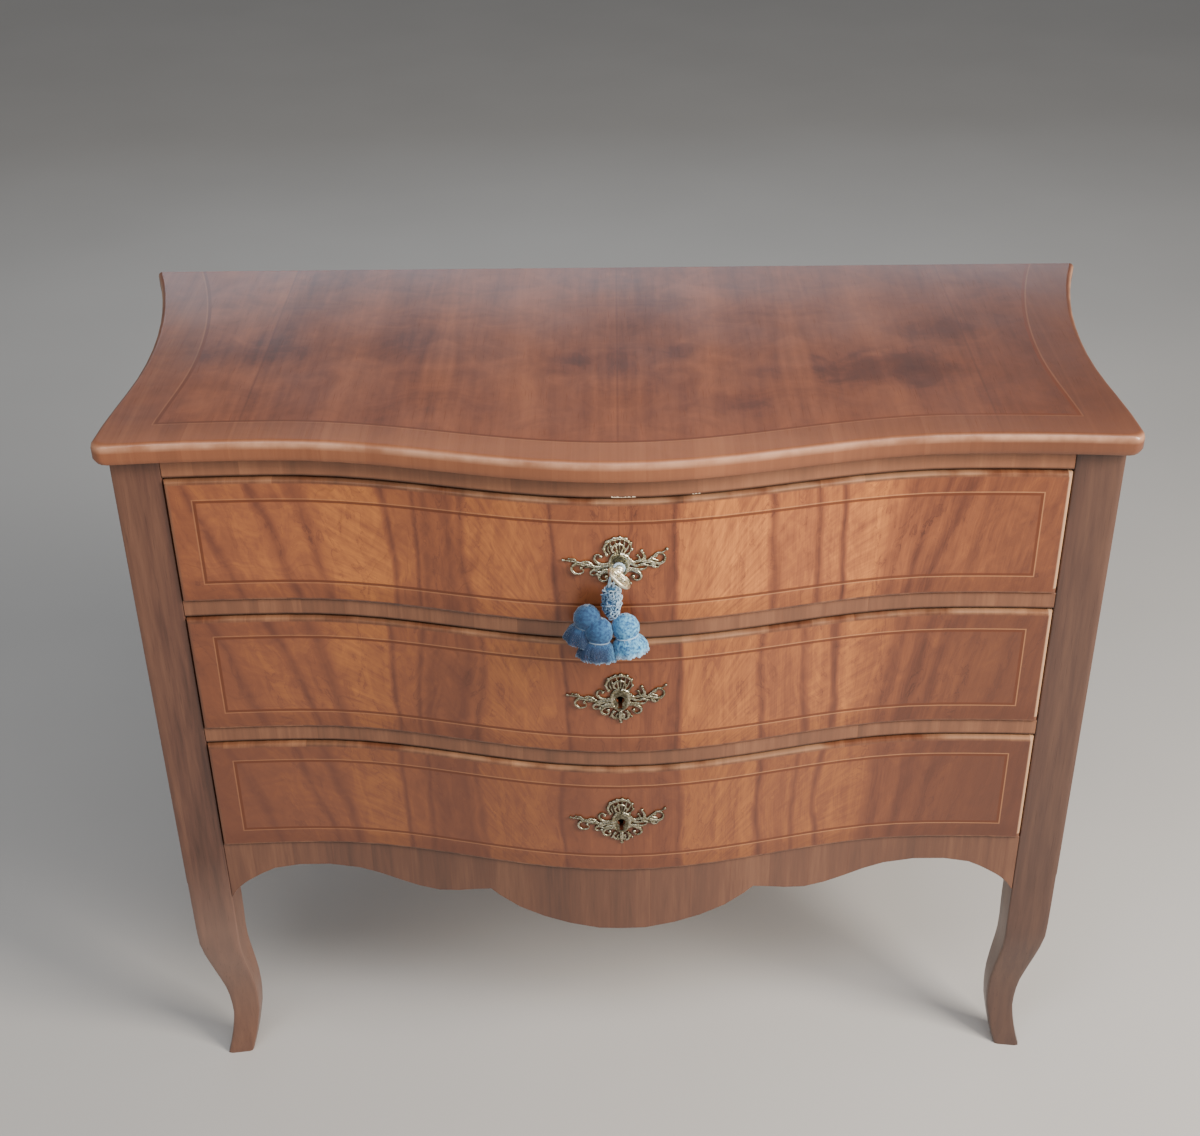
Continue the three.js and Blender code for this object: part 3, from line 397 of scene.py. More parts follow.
# %% [markdown]
# ## Banding and strings
# The rails, the edge of the top and the apron are covered with short pieces laid with their grain
# upright, each a little different from the next. On the drawers and on the top, strings are let
# into the veneer: a dark line, and outside it a finer light one.

# %% Short upright pieces of banding
BAND_PIECE = 0.047
BAND_BROWNS = ((0.0, tone(70, 40, 28)), (0.5, tone(112, 68, 46)), (1.0, tone(150, 100, 68)))
STRING_LIGHT = tone(212, 150, 100)
LIGHT_STRING_OUT = 0.0023
STRING_DARK = tone(98, 46, 18)


def banding(finish, seed=0.0):
    """The colour of short upright pieces, each with its own tone, and their pores."""
    x, y, z = finish.axes()
    count = finish.plus(finish.over(x, BAND_PIECE), 40.3 + seed)
    number = finish.whole(count)
    own = finish.nodes.new("ShaderNodeTexWhiteNoise")
    own.noise_dimensions = "1D"
    finish.give(own.inputs["W"], number)
    lean = finish.times(own.outputs["Value"], 9.0)
    place = finish.point(finish.plus(x, finish.times(lean, 0.05)), lean, z)
    depth, pores = grain(finish, "z", 34, 210, place)
    depth = finish.times_plus(own.outputs["Value"], 0.28, finish.times(depth, 0.72))
    joint = finish.span(finish.fold(count, 0.5), 0.0, 0.012, 1.0, 0.0)
    colour = finish.ramp(depth, BAND_BROWNS)
    colour = finish.mix(finish.times(joint, 0.6), colour, STRING_DARK)
    return finish.mix(finish.times(pores, 0.35), colour, WALNUT_DARK), pores


def strings(finish, distance):
    """Strings beside a line: the shares of light and of dark at a distance from it."""
    dark = finish.span(finish.size(distance), 0.0011, 0.0018, 0.88, 0.0)
    beside = finish.size(finish.minus(distance, LIGHT_STRING_OUT))
    light = finish.span(beside, 0.0003, 0.0009, 0.42, 0.0)
    return light, dark


def lay_strings(finish, colour, light, dark):
    """The strings laid over a colour."""
    return finish.mix(dark, finish.mix(light, colour, STRING_LIGHT), STRING_DARK)


print("pieces of banding in a metre:", round(1 / BAND_PIECE, 1))

# %% [markdown]
# ## Bare wood
# What doesn't show was left bare: runners, drawer sides, back boards and the inside of the drawer
# fronts. It is a pale wood, darkened by air and dust. The boards of the back lie across, and each
# was sawn from another plank, so the grain is shifted from board to board.

# %% Bare wood
BOARD_PITCH = 0.18545
BACK_FOOT = 0.3179
BARE_BROWNS = ((0.0, tone(142, 102, 64)), (0.5, tone(182, 140, 94)), (1.0, tone(204, 166, 118)))


def bare_colour(finish, along, where=None):
    """The colour, the depth and the pores of dusty bare wood."""
    depth, pores = grain(finish, along, 14, 120, where)
    colour = finish.ramp(depth, BARE_BROWNS)
    dust = finish.span(finish.noise(9, detail=6), 0.4, 0.7, 0.0, 0.4)
    return finish.mix(dust, colour, tone(128, 98, 70)), depth, pores


def bare_wood(name, along, boards=False):
    """Bare wood with its grain along one axis, in one piece or in boards that lie across."""
    finish = Finish(name)
    where = None
    if boards:
        x, y, z = finish.axes()
        board = finish.whole(finish.over(finish.minus(z, BACK_FOOT), BOARD_PITCH))
        where = finish.point(x, finish.times_plus(board, 0.7, y), z)
    colour, depth, pores = bare_colour(finish, along, where)
    if boards:
        aged = finish.times_plus(finish.fold(board, 1.0), 0.22, 0.2)
        colour = finish.mix(aged, colour, tone(112, 84, 60))
    finish.bump(depth, 0.0002, 0.4)
    return finish.paint(colour, finish.times_plus(pores, 0.1, 0.68))


BARE_X = bare_wood("bare_wood_across", "x")
BARE_Y = bare_wood("bare_wood_deep", "y")
BACK = bare_wood("back_boards", "x", boards=True)

# %% [markdown]
# ## The figured veneer of the drawers
# Each front is covered by four sheets. Two narrow ones meet under the lock, and a wide one on each
# side shows the fan of a crotch: bright waves, then dark bands that lean outwards as they rise. The
# bands are placed by a ramp along the front, one for each half. The ramp of the right half also
# carries painted light over the flank of the bow that faces the light, and painted shade towards
# the right end.

# %% Bands of the drawer veneer
LEFT_BANDS = (
    (0, 0.55), (57, 0.5), (61, 0.0), (65, 0.7), (105, 0.9), (150, 0.85), (156, 0.3), (162, 0.6),
    (172, 0.2), (188, 0.5), (204, 0.25), (210, 0.6), (214, 0.1), (219, 0.65), (240, 0.7), (244, 0.1),
    (250, 0.9), (296, 1.0), (312, 0.75), (322, 0.2), (332, 0.7), (352, 0.65), (359, 0.1), (367, 0.7),
    (385, 0.75), (416, 0.6), (424, 0.15), (432, 0.55),
)
# Painted light and shade: brighter over the right flank of the bow, darker towards the right end.
RIGHT_BANDS_WITH_PAINTED_LIGHT = (
    (0, 0.42), (58, 0.36), (62, 0.05), (68, 0.85), (110, 1.0), (152, 1.0), (158, 0.1), (163, 0.75),
    (197, 0.75), (203, 0.1), (209, 0.85), (228, 0.8), (233, 0.0), (239, 0.95), (262, 0.95), (284, 0.7),
    (298, 0.25), (314, 0.5), (326, 0.05), (338, 0.45), (352, 0.1), (366, 0.52), (386, 0.42),
    (408, 0.55), (448, 0.45),
)
BAND_REACH = 460.0
def crotch_bands(finish, x, along):
    """The light and dark bands of a front, from dark 0 to bright 1, with painted light on the right."""
    share = finish.over(along, BAND_REACH / 1000)
    left = finish.ramp(share, [(at / BAND_REACH, shade) for at, shade in LEFT_BANDS])
    right = finish.ramp(share, [(at / BAND_REACH, shade) for at, shade in RIGHT_BANDS_WITH_PAINTED_LIGHT])
    return finish.mix(finish.is_over(x, 0.0), left, right)


print("bands:", len(LEFT_BANDS), "to the left,", len(RIGHT_BANDS_WITH_PAINTED_LIGHT), "to the right")

# %% [markdown]
# ## Where a place lies on its front
# The sheets of the three drawers were cut one after another, so the drawers match, and one finish
# can serve all three. Dividing z by the pitch of the drawers gives the storey, 0 for the lowest
# drawer, and the rest is the height on the front. The distance along the front is bent by a slow
# noise and leans outwards as it rises, which makes straight bands into grown ones.

# %% Height, storey and the bent distance
DRAWER_FOOT = 0.358
FRONT_HALF = 0.4688
FRONT_HIGH = 0.1483
LEAN_HEIGHT = 0.075


def place_on_front(finish):
    """The height on the front, the storey, and the distance from the middle, true and bent."""
    x, y, z = finish.axes()
    from_foot = finish.minus(z, DRAWER_FOOT)
    height = finish.wrap(from_foot, DRAWER_PITCH)
    storey = finish.whole(finish.over(from_foot, DRAWER_PITCH))
    away = finish.size(x)
    slow = finish.point(x, storey, finish.times(height, 0.5))
    bend = finish.times(finish.minus(finish.noise(7, slow, detail=4), 0.5), 0.06)
    lean = finish.times(finish.span(away, 0.22, 0.36), 0.34)
    lift = finish.times(finish.minus(height, LEAN_HEIGHT), lean)
    return height, storey, away, finish.plus(finish.minus(away, lift), bend)


print("fronts:", FRONT_HIGH, "m high, one every", DRAWER_PITCH, "m")

# %% [markdown]
# ## Flames, rays and veins
# Where a trunk forks, its fibres fan out from the fork and swirl. Three patterns over the bands
# show that: a warped noise for the flames, a noise read by its angle round the heart of the crotch
# for the rays, and a few fine dark veins that drift beside the bands.

# %% Flames, rays and veins
HEART_OUT, HEART_BELOW = 0.035, 0.06


def crotch_figure(finish, figure, depth, height, storey, away, along):
    """How bright each place of the crotch is: its bands with flames, rays and veins."""
    waves = finish.point(finish.times(along, 1.8), storey, finish.times(height, 0.7))
    flame = finish.noise(30, waves, detail=6, warp=1.6, roughness=0.58)
    heart_x = finish.minus(away, HEART_OUT)
    heart_z = finish.plus(height, HEART_BELOW)
    angle = finish.times(finish.math("ARCTAN2", heart_z, heart_x), 4.0)
    round_heart = finish.point(angle, storey, finish.plus(heart_x, heart_z))
    rays = finish.minus(finish.noise(11, round_heart, detail=6, roughness=0.7), 0.5)
    rays = finish.times(rays, finish.span(figure, 0.6, 1.0, 0.1, 0.9))
    level = finish.times_plus(figure, 0.5, finish.times(depth, 0.3))
    level = finish.times_plus(flame, 0.56, finish.minus(level, 0.22))
    drift = finish.times_plus(along, 34.0, finish.times(flame, 3.4))
    vein = finish.span(finish.fold(drift, 0.5), 0.0, 0.075, 1.0, 0.0)
    faint = finish.span(finish.noise(13, waves, detail=3), 0.42, 0.62, 0.0, 0.22)
    return finish.minus(finish.plus(rays, level), finish.times(vein, faint))


print("heart of the crotch:", HEART_OUT, "m out and", HEART_BELOW, "m below the front")

# %% [markdown]
# ## Shade and tone of the fronts
# The fronts were alike when they were new. Now the ends are darker and redder than the middle, the
# right end most, and the left half is a little duller: this is painted shade, where less light
# falls on the ends and on the left flank of the bow. The lower drawers are deeper and calmer than
# the top one. Each of these is one more mix over the colour, by a share that is reckoned from the
# place.

# %% Shade and tone the fronts
DEEP_SHADE_BROWN = tone(66, 38, 30)
LEFT_SHADE_BROWN = tone(128, 78, 60)
CALM_BROWN = tone(120, 69, 48)


def shade_and_tone_front(finish, field, x, away, storey):
    """The colour of a front with painted shade on its ends and left half, deeper on the lower drawers."""
    right = finish.is_over(x, 0.0)
    deeper = finish.times_plus(storey, -0.16, 0.34)
    # Painted shade: the ends are darkened, the right end and the lower drawers most.
    ends = finish.times(finish.span(away, 0.25, 0.42), finish.times_plus(right, 0.16, 0.14))
    ends = finish.times(ends, finish.times_plus(finish.is_under(storey, 1.5), 0.5, 1.0))
    field = finish.mix(finish.plus(deeper, ends), field, DEEP_SHADE_BROWN)
    # Painted shade: the left half of the front is duller.
    field = finish.mix(finish.times(finish.minus(1.0, right), 0.16), field, LEFT_SHADE_BROWN)
    return finish.mix(finish.times_plus(storey, -0.13, 0.28), field, CALM_BROWN)


print("brown of the ends:", DEEP_SHADE_BROWN)

# %% [markdown]
# ## Strings on the fronts
# A frame of two strings runs round each front. The distance to the frame is the largest of three:
# to its upright side, to its lower and to its upper line. Outside the frame the veneer is a touch
# darker, most of all along the foot.

# %% Strings on the fronts
STRING_LOW, STRING_HIGH = 0.0255, 0.1238
STRING_HALF = 0.440


def front_strings(finish, field, x, away, height):
    """The frame of strings let into a front."""
    below = finish.minus(STRING_LOW, height)
    above = finish.minus(height, STRING_HIGH)
    edge = finish.larger(finish.larger(finish.minus(away, STRING_HALF), below), above)
    light, dark = strings(finish, edge)
    light = finish.times(light, finish.span(x, -0.3, 0.1, 0.55, 1.0))
    foot = finish.span(below, 0.0, 0.012, 0.0, 0.2)
    outside = finish.plus(finish.span(edge, 0.0, 0.0005, 0.0, 0.1), foot)
    return lay_strings(finish, finish.mix(outside, field, WALNUT_DARK), light, dark)


print("frame of strings:", 2 * STRING_HALF, "by", round(STRING_HIGH - STRING_LOW, 4), "m")

# %% [markdown]
# ## The lip
# A rounded lip of short upright pieces runs round each front. Its upper edge and its right end
# are painted pale, more to the right: a painted highlight where the light from above and from the
# right falls on the rounding. The lip is all that lies within five millimetres of the front's outline.

# %% The lip of the fronts
# Painted highlight: the pale tone of the lip where the light catches it.
LIP_HIGHLIGHT_TONE = tone(214, 168, 128)
CLEAR_OF_FOOT = 0.008


def front_lip(finish, colour, x, away, height):
    """The lip laid round the colour of a front, with a painted highlight on its upper edge and right end."""
    to_end = finish.minus(FRONT_HALF, away)
    to_edge = finish.smaller(height, finish.minus(FRONT_HIGH, height))
    # Painted highlight: pale patches along the upper edge of the lip, stronger to the right, and the whole
    # right end.
    lip_highlight = finish.span(finish.noise(15, detail=4), 0.4, 0.55, 0.0, 0.26)
    lip_highlight = finish.times(lip_highlight, finish.span(x, -0.26, -0.14, 0.35, 1.0))
    lip_highlight = finish.times(lip_highlight, finish.span(to_edge, 0.0014, 0.0028, 1.15, 0.2))
    at_end = finish.span(to_end, 0.0040, 0.0050, 0.75, 0.0)
    lip_highlight = finish.larger(lip_highlight, finish.times(at_end, finish.is_over(x, 0.0)))
    lip_highlight = finish.times(lip_highlight, finish.is_over(height, CLEAR_OF_FOOT))
    lip = finish.span(finish.smaller(to_end, to_edge), 0.0030, 0.0048, 1.0, 0.0)
    return finish.mix(lip, colour, finish.mix(lip_highlight, banding(finish, 5.3)[0], LIP_HIGHLIGHT_TONE))


print("rubbed wood:", LIP_HIGHLIGHT_TONE)

# %% [markdown]
# ## The finish of the fronts
# Now the layers go together: the figure in four browns, its pores, the joint of the two middle
# sheets, the painted shade and the deeper tone of the lower drawers, the strings and the lip.
# Behind the thickness of the lip the board is bare.

# %% Put the fronts together
FRONT_BROWNS = ((0.05, WALNUT_DARK), (0.28, WALNUT_DEEP), (0.55, WALNUT_MID), (0.98, WALNUT_BRIGHT))
FINISHED_DEPTH = 0.0105


def drawer_veneer():
    """The finish of the drawer fronts: figured sheets with the strings let in."""
    finish = Finish("figured_front", Coat_Weight=0.18, Coat_Roughness=0.16)
    x, y, z = finish.axes()
    height, storey, away, along = place_on_front(finish)
    figure = crotch_bands(finish, x, along)
    depth, pores = grain(finish, "z", 30, 260, finish.point(finish.plus(along, x), storey, z))
    level = crotch_figure(finish, figure, depth, height, storey, away, along)
    field = finish.mix(finish.times(pores, 0.3), finish.ramp(level, FRONT_BROWNS), WALNUT_DARK)
    field = finish.mix(finish.span(away, 0.0004, 0.0010, 0.4, 0.0), field, WALNUT_DARK)
    field = shade_and_tone_front(finish, field, x, away, storey)
    colour = front_strings(finish, field, x, away, height)
    colour = front_lip(finish, colour, x, away, height)
    bare = finish.is_over(finish.behind(DRAWER_PROUD), FINISHED_DEPTH)
    colour = finish.mix(bare, colour, bare_colour(finish, "x")[0])
    finish.bump(finish.minus(1.0, pores), 0.00012, 0.5)
    return finish.paint(colour, polish(finish, pores))


FRONT = drawer_veneer()

# %% [markdown]
# ## Rails and apron
# The rail under the top is paler than the rest, and two chips of its veneer are broken off along
# its lower edge, where the wood below shows nearly white. A painted shadow lies along the foot of
# the rails, over the gap above each drawer, which is in shade. The apron is darker and greyer. All
# are the same banding, tinted by one more mix.

# %% Banding for rails and apron
CHIPS = ((0.006, 0.0125, 0.0016), (0.079, 0.004, 0.0014))
CHIPPED_WOOD = tone(240, 222, 196)
# Painted shadow: the dark of the shaded gap below each rail.
GAP_SHADOW = tone(38, 22, 16)
FRIEZE_FOOT = 0.851
APRON_TOP = 0.45


def chip(finish, across, half, high):
    """A broken-off chip at the foot of the top rail: 1 inside it and 0 outside."""
    x, y, z = finish.axes()
    ragged = finish.times(finish.noise(420, detail=3), 0.004)
    beside = finish.minus(finish.size(finish.minus(x, across)), half)
    over = finish.minus(z, FRIEZE_FOOT + high)
    outside = finish.plus(finish.larger(beside, over), finish.minus(ragged, 0.002))
    return finish.is_under(outside, 0.0)


def rail_banding(name, tint, share, chips=()):
    """Banding of one tint, with a painted shadow along the foot of the rails and, if told, with chips."""
    finish = Finish(name, Coat_Weight=0.2, Coat_Roughness=0.25)
    colour, pores = banding(finish)
    colour = finish.mix(share, colour, tint)
    x, y, z = finish.axes()
    # Painted shadow along the foot of each rail, over the gap above the drawer below.
    over_foot = finish.wrap(finish.minus(z, FRIEZE_FOOT - 3 * DRAWER_PITCH), DRAWER_PITCH)
    gap_shadow = finish.times(finish.span(over_foot, 0.0014, 0.0034, 0.8, 0.0), finish.is_over(z, APRON_TOP))
    colour = finish.mix(gap_shadow, colour, GAP_SHADOW)
    for one in chips:
        colour = finish.mix(chip(finish, *one), colour, CHIPPED_WOOD)
    finish.bump(finish.minus(1.0, pores), 0.00012, 0.5)
    return finish.paint(colour, polish(finish, pores))


RAIL = rail_banding("rail_banding", tone(150, 106, 78), 0.25)
FRIEZE = rail_banding("frieze_banding", tone(182, 124, 88), 0.32, CHIPS)
APRON = rail_banding("apron_banding", tone(96, 70, 58), 0.38)

# %% [markdown]
# ## The outline of the top
# A string runs beside the front and both sides of the top, so the finish must know how far each
# place lies from the top's outline. Its front is the serpentine of the rails, carried out by the
# overhang. Its sides swell towards the front corners as a quarter of a wave, and flare again
# towards the back.

# %% The outline of the top
TOP_OVERHANG = 0.016
WAIST_Y, WAIST_HALF = 0.0038, 0.520
FRONT_SWELL, FRONT_RUN = 0.014, 0.193
REAR_FLARE, REAR_RUN = 0.0426, 0.261
TOP_FRONT_INSET = 0.045
TOP_SIDE_INSET = 0.057


def beyond_string(finish, y, away):
    """How far a place lies outside the string of the top. Inside it, this is below 0."""
    angle = finish.times(finish.smaller(away, HOLLOW_HALF), math.pi / 2 / HOLLOW_HALF)
    swing = finish.math("COSINE", angle)
    front = finish.times_plus(finish.times(swing, swing), -BOW, FACE_BACK - TOP_OVERHANG)
    fall = finish.larger(finish.minus(away, HOLLOW_HALF), 0.0)
    front = finish.times_plus(finish.times(fall, fall), -CORNER_FALL / CORNER_RUN**2, front)
    reach = finish.minus(WAIST_Y, y)
    swell = finish.math("SINE", finish.times(finish.span(reach, 0.0, FRONT_RUN), math.pi / 2))
    flare = finish.larger(finish.times(reach, -1.0), 0.0)
    side = finish.times_plus(finish.times(swell, swell), FRONT_SWELL, WAIST_HALF)
    side = finish.times_plus(finish.times(flare, flare), REAR_FLARE / REAR_RUN**2, side)
    inward = finish.minus(finish.plus(front, TOP_FRONT_INSET), y)
    outward = finish.minus(away, finish.minus(side, TOP_SIDE_INSET))
    return finish.larger(inward, outward)


print("string:", TOP_FRONT_INSET, "m from the front and", TOP_SIDE_INSET, "m from the sides")

# %% [markdown]
# ## Burr walnut
# Sheets of burr walnut lie side by side on the top, each turned over so that it mirrors its
# neighbour. The main pattern is therefore read from a folded distance. No two sheets are quite
# alike, so a cloud that isn't folded lies over them, and every second sheet is a touch brighter.
# Stripes run from front to back where the burr is straighter, away from the middle of a sheet.

# %% The sheets of burr
LEAF = 0.195


def burr_sheets(finish, x, y, away):
    """How bright the burr is, its pores, and the folded distance across a sheet."""
    run = finish.plus(x, 4 * LEAF)
    mirrored = finish.fold(run, LEAF)
    pair = finish.times(finish.whole(finish.over(away, 2 * LEAF)), 3.0)
    sheet = finish.point(mirrored, y, pair)
    depth, pores = grain(finish, "y", 16, 110, sheet)
    burr = finish.noise(17, sheet, detail=7, warp=1.8, roughness=0.64)
    level = finish.times_plus(burr, 0.36, finish.times_plus(depth, 0.2, 0.06))
    level = finish.times_plus(finish.noise(9, detail=5, warp=0.8), 0.26, level)
    along = finish.point(mirrored, finish.times(y, 0.07), finish.times(away, 0.02))
    stripe = finish.minus(finish.noise(62, along, detail=4, warp=0.3), 0.5)
    from_middle = finish.span(finish.size(finish.minus(mirrored, LEAF / 2)), 0.03, 0.085)
    level = finish.times_plus(finish.times(stripe, from_middle), 0.42, level)
    turned = finish.math("MODULO", finish.whole(finish.over(run, LEAF)), 2.0)
    return finish.times_plus(turned, 0.035, level), pores, mirrored


print("sheets of burr:", LEAF, "m wide")

# %% [markdown]
# ## Knots
# Dark knots lie scattered in the burr, each an oval that fades into the wood round it. One noise
# smudges the edges of them all, so that none of them is a clean oval.

# %% The knots of the top
KNOTS = (
    (-0.41, 0.025, 0.09, 0.045, 0.13), (-0.03, -0.014, 0.08, 0.05, 0.07), (0.294, -0.027, 0.085, 0.055, 0.23),
    (0.114, -0.109, 0.05, 0.03, 0.1), (-0.185, -0.10, 0.035, 0.04, 0.07), (0.07, 0.02, 0.02, 0.02, 0.12),
    (-0.04, 0.0, 0.02, 0.02, 0.12), (-0.24, 0.04, 0.07, 0.05, 0.05), (0.36, 0.07, 0.06, 0.04, 0.14),
)


def darken_knots(finish, level, x, y):
    """The brightness of the burr with its knots. A knot is its place, its two halves, its dark."""
    smudge = finish.times(finish.minus(finish.noise(28, detail=5, warp=1.0), 0.5), 1.6)
    for knot_x, knot_y, half_wide, half_deep, dark in KNOTS:
        across = finish.over(finish.minus(x, knot_x), half_wide)
        deep = finish.over(finish.minus(y, knot_y), half_deep)
        ring = finish.math("SQRT", finish.times_plus(across, across, finish.times(deep, deep)))
        dip = finish.span(finish.plus(ring, smudge), 0.2, 1.25, dark, 0.0, smooth=True)
        level = finish.minus(level, dip)
    return level


print("knots:", len(KNOTS))

# %% [markdown]
# ## The finish of the top
# Inside the string lie the sheets, outside it a band of short pieces that takes on some of their
# figure. The front of the band is bleached, its rear is dull, and the whole top darkens to the
# right, away from the light of the room. A pale line is painted in patches along the upper arris of
# the front edge, as the painted highlight of its rounding.

# %% Put the top together
TOP_BROWNS = (
    (0.1, tone(52, 28, 20)), (0.34, tone(92, 48, 30)), (0.6, tone(136, 78, 48)), (0.95, tone(176, 108, 66)),
)
BLEACHED_BAND = tone(192, 122, 82)
TOP_SHADE = tone(70, 40, 28)
ARRIS_HIGHLIGHT = tone(214, 164, 130)


def top_veneer():
    """The finish of the top: burr sheets, knots, strings and the band round them."""
    finish = Finish("top_veneer", Coat_Weight=0.4, Coat_Roughness=0.13, Specular_IOR_Level=0.3)
    x, y, z = finish.axes()
    away = finish.size(x)
    edge = beyond_string(finish, y, away)
    level, pores, mirrored = burr_sheets(finish, x, y, away)
    field = finish.ramp(darken_knots(finish, level, x, y), TOP_BROWNS)
    field = finish.mix(finish.span(mirrored, 0.0006, 0.0016, 0.35, 0.0), field, WALNUT_DARK)
    field = finish.mix(finish.times(pores, 0.3), field, WALNUT_DARK)
    band = finish.mix(0.4, banding(finish, 3.1)[0], field)
    band = finish.mix(finish.span(y, -0.20, -0.13, 0.3, 0.0), band, BLEACHED_BAND)
    band = finish.mix(finish.span(y, -0.20, -0.10, 0.0, 0.35), band, field)
    colour = finish.mix(finish.is_over(edge, 0.0), field, band)
    colour = finish.mix(finish.span(x, 0.1, 0.42, 0.0, 0.5), colour, TOP_SHADE)
    light, dark = strings(finish, finish.times(edge, 0.8))
    colour = lay_strings(finish, colour, finish.times(light, 0.3), dark)
    # Painted highlight: a pale, broken line along the upper arris of the top's edge.
    arris = finish.times(finish.span(z, 0.8900, 0.8945), finish.span(z, 0.8970, 0.8996, 1.0, 0.0))
    arris = finish.times(arris, finish.span(finish.noise(26, detail=5), 0.36, 0.6, 0.15, 0.6))
    colour = finish.mix(arris, colour, ARRIS_HIGHLIGHT)
    finish.bump(finish.minus(1.0, pores), 0.0001, 0.4)
    return finish.paint(colour, polish(finish, pores, 0.42, 0.58))


TOP = top_veneer()

# %% [markdown]
# ## Plain walnut and iron
# The posts and the sides are of plain walnut with its grain upright, greyer than the front and worn
# pale at the feet. Painted light brightens the lower left leg, and painted shade darkens the right
# post and the lower right leg. The locks are of iron that has browned a little.

# %% Plain walnut, iron
STILE_BROWNS = ((0.0, tone(62, 38, 30)), (0.4, tone(94, 60, 46)), (1.0, tone(126, 86, 64)))


def plain_walnut():
    """Plain walnut for posts and sides, scuffed at the feet, with painted light to the left and painted shade
    to the right.
    """
    finish = Finish("plain_walnut", Coat_Weight=0.3, Coat_Roughness=0.22)
    depth, pores = grain(finish, "z", 20, 140)
    x, y, z = finish.axes()
    colour = finish.ramp(depth, STILE_BROWNS)
    ragged = finish.plus(z, finish.times(finish.noise(40), 0.14))
    colour = finish.mix(finish.span(ragged, 0.06, 0.20, 0.22, 0.0), colour, tone(118, 94, 82))
    # Painted shade: the right post is darker.
    colour = finish.mix(finish.span(x, 0.3, 0.5, 0.0, 0.42), colour, tone(62, 48, 42))
    # Painted light on the lower left leg, painted shade on the lower right leg.
    lit = finish.times(finish.span(z, 0.22, 0.34, 0.45, 0.0), finish.span(z, 0.02, 0.16))
    colour = finish.mix(finish.times(lit, finish.is_under(x, 0.0)), colour, tone(150, 118, 102))
    shaded = finish.times(finish.span(z, 0.0, 0.25, 0.2, 0.0), finish.is_over(x, 0.0))
    colour = finish.mix(shaded, colour, tone(62, 50, 46))
    colour = finish.mix(finish.times(pores, 0.4), colour, tone(58, 34, 26))
    finish.bump(finish.minus(1.0, pores), 0.00015, 0.5)
    return finish.paint(colour, polish(finish, pores, 0.34, 0.5))


def old_iron():
    """Iron that has browned in patches, and is duller there."""
    finish = Finish("old_iron", Metallic=1.0)
    rust = finish.span(finish.noise(160, detail=6), 0.45, 0.7)
    colour = finish.mix(rust, tone(126, 120, 114), tone(96, 66, 48))
    finish.bump(finish.noise(500, detail=4), 0.0001, 0.4)
    return finish.paint(colour, finish.span(rust, 0, 1, 0.38, 0.7))


STILE = plain_walnut()
IRON = old_iron()


# %% [markdown]
# ## From solid to finished wood
# A solid has knife-sharp edges and facets along its curves. A joiner breaks each edge with a pass
# of fine paper, and that thin bright line along the edges is what makes wood look like wood. So a
# copy of the solid is merged, its edges are bevelled by about half a millimetre, and its curves
# are shaded smooth. The copy stands for the solid from then on.

# %% Dress a copy of a solid
def dress(node, finish, break_edge=0.0006):
    """A merged copy of a solid, with broken edges, smooth curves and a finish."""
    pick(solids[node])
    bpy.ops.object.duplicate()
    piece = bpy.context.object
    piece.name = piece.data.name = node + "_dressed"
    body = piece["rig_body"]
    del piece["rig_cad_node"]
    if piece.data.has_custom_normals:
        bpy.ops.mesh.customdata_custom_splitnormals_clear()
    edit(piece)
    bpy.ops.mesh.remove_doubles(threshold=0.00001)
    bpy.ops.mesh.normals_make_consistent(inside=False)
    bpy.ops.mesh.dissolve_limited(angle_limit=math.radians(0.2))
    close()
    sharp = math.radians(40)
    modify(piece, "BEVEL", width=break_edge, segments=2, limit_method="ANGLE", angle_limit=sharp)
    bpy.ops.object.shade_smooth_by_angle(angle=math.radians(42))
    modify(piece, "WEIGHTED_NORMAL", keep_sharp=True)
    piece.data.materials.clear()
    piece.data.materials.append(finish)
    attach(piece, body)
    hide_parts(node)
    print("dressed:", node, len(piece.data.polygons), "faces")
    return piece


# %% [markdown]
# ## The pieces that show
# On the real chest these were polished together after the glue had dried. Here each solid is named
# with its finish and its slot, and one loop dresses them all.

# %% Dress the carcase and the drawer fronts
DRESSED = {
    "top": (TOP, "top_walnut"),
    "top_rail": (FRIEZE, "front_veneer"),
    "upper_divider_rail": (RAIL, "front_veneer"),
    "lower_divider_rail": (RAIL, "front_veneer"),
    "apron": (APRON, "front_veneer"),
    "front_post_left": (STILE, "carcase_walnut"),
    "front_post_right": (STILE, "carcase_walnut"),
    "rear_post_left": (STILE, "carcase_walnut"),
    "rear_post_right": (STILE, "carcase_walnut"),
    "side_panel_left": (STILE, "carcase_walnut"),
    "side_panel_right": (STILE, "carcase_walnut"),
    "drawer_1_front": (FRONT, "front_veneer"),
    "drawer_2_front": (FRONT, "front_veneer"),
    "drawer_3_front": (FRONT, "front_veneer"),
}
for node, (finish, slot_name) in DRESSED.items():
    dress(node, finish)

# %% [markdown]
# ## Back boards and drawer boxes
# These were planed and never polished. The back boards got a broader chamfer where they meet, and
# the drawer sides and backs were only touched with the plane, so their edges are nearly sharp.

# %% Dress the back boards and the drawer boxes
BOARD_EDGE = 0.0014
BOX_EDGE = 0.0003

for number in (1, 2, 3):
    dress(f"backboard_{number}", BACK, BOARD_EDGE)
    for word in ("side_left", "side_right"):
        dress(f"drawer_{number}_{word}", BARE_Y, BOX_EDGE)
    dress(f"drawer_{number}_back", BARE_X, BOX_EDGE)

# %% [markdown]
# ## The pieces inside
# Runners, stops, drawer bottoms, inner rails and locks are seen only with a drawer pulled out. They
# keep the shape of their solids and get a finish: iron for the locks, wood with its grain across
# for the rails and bottoms, and wood with its grain running back for the rest.

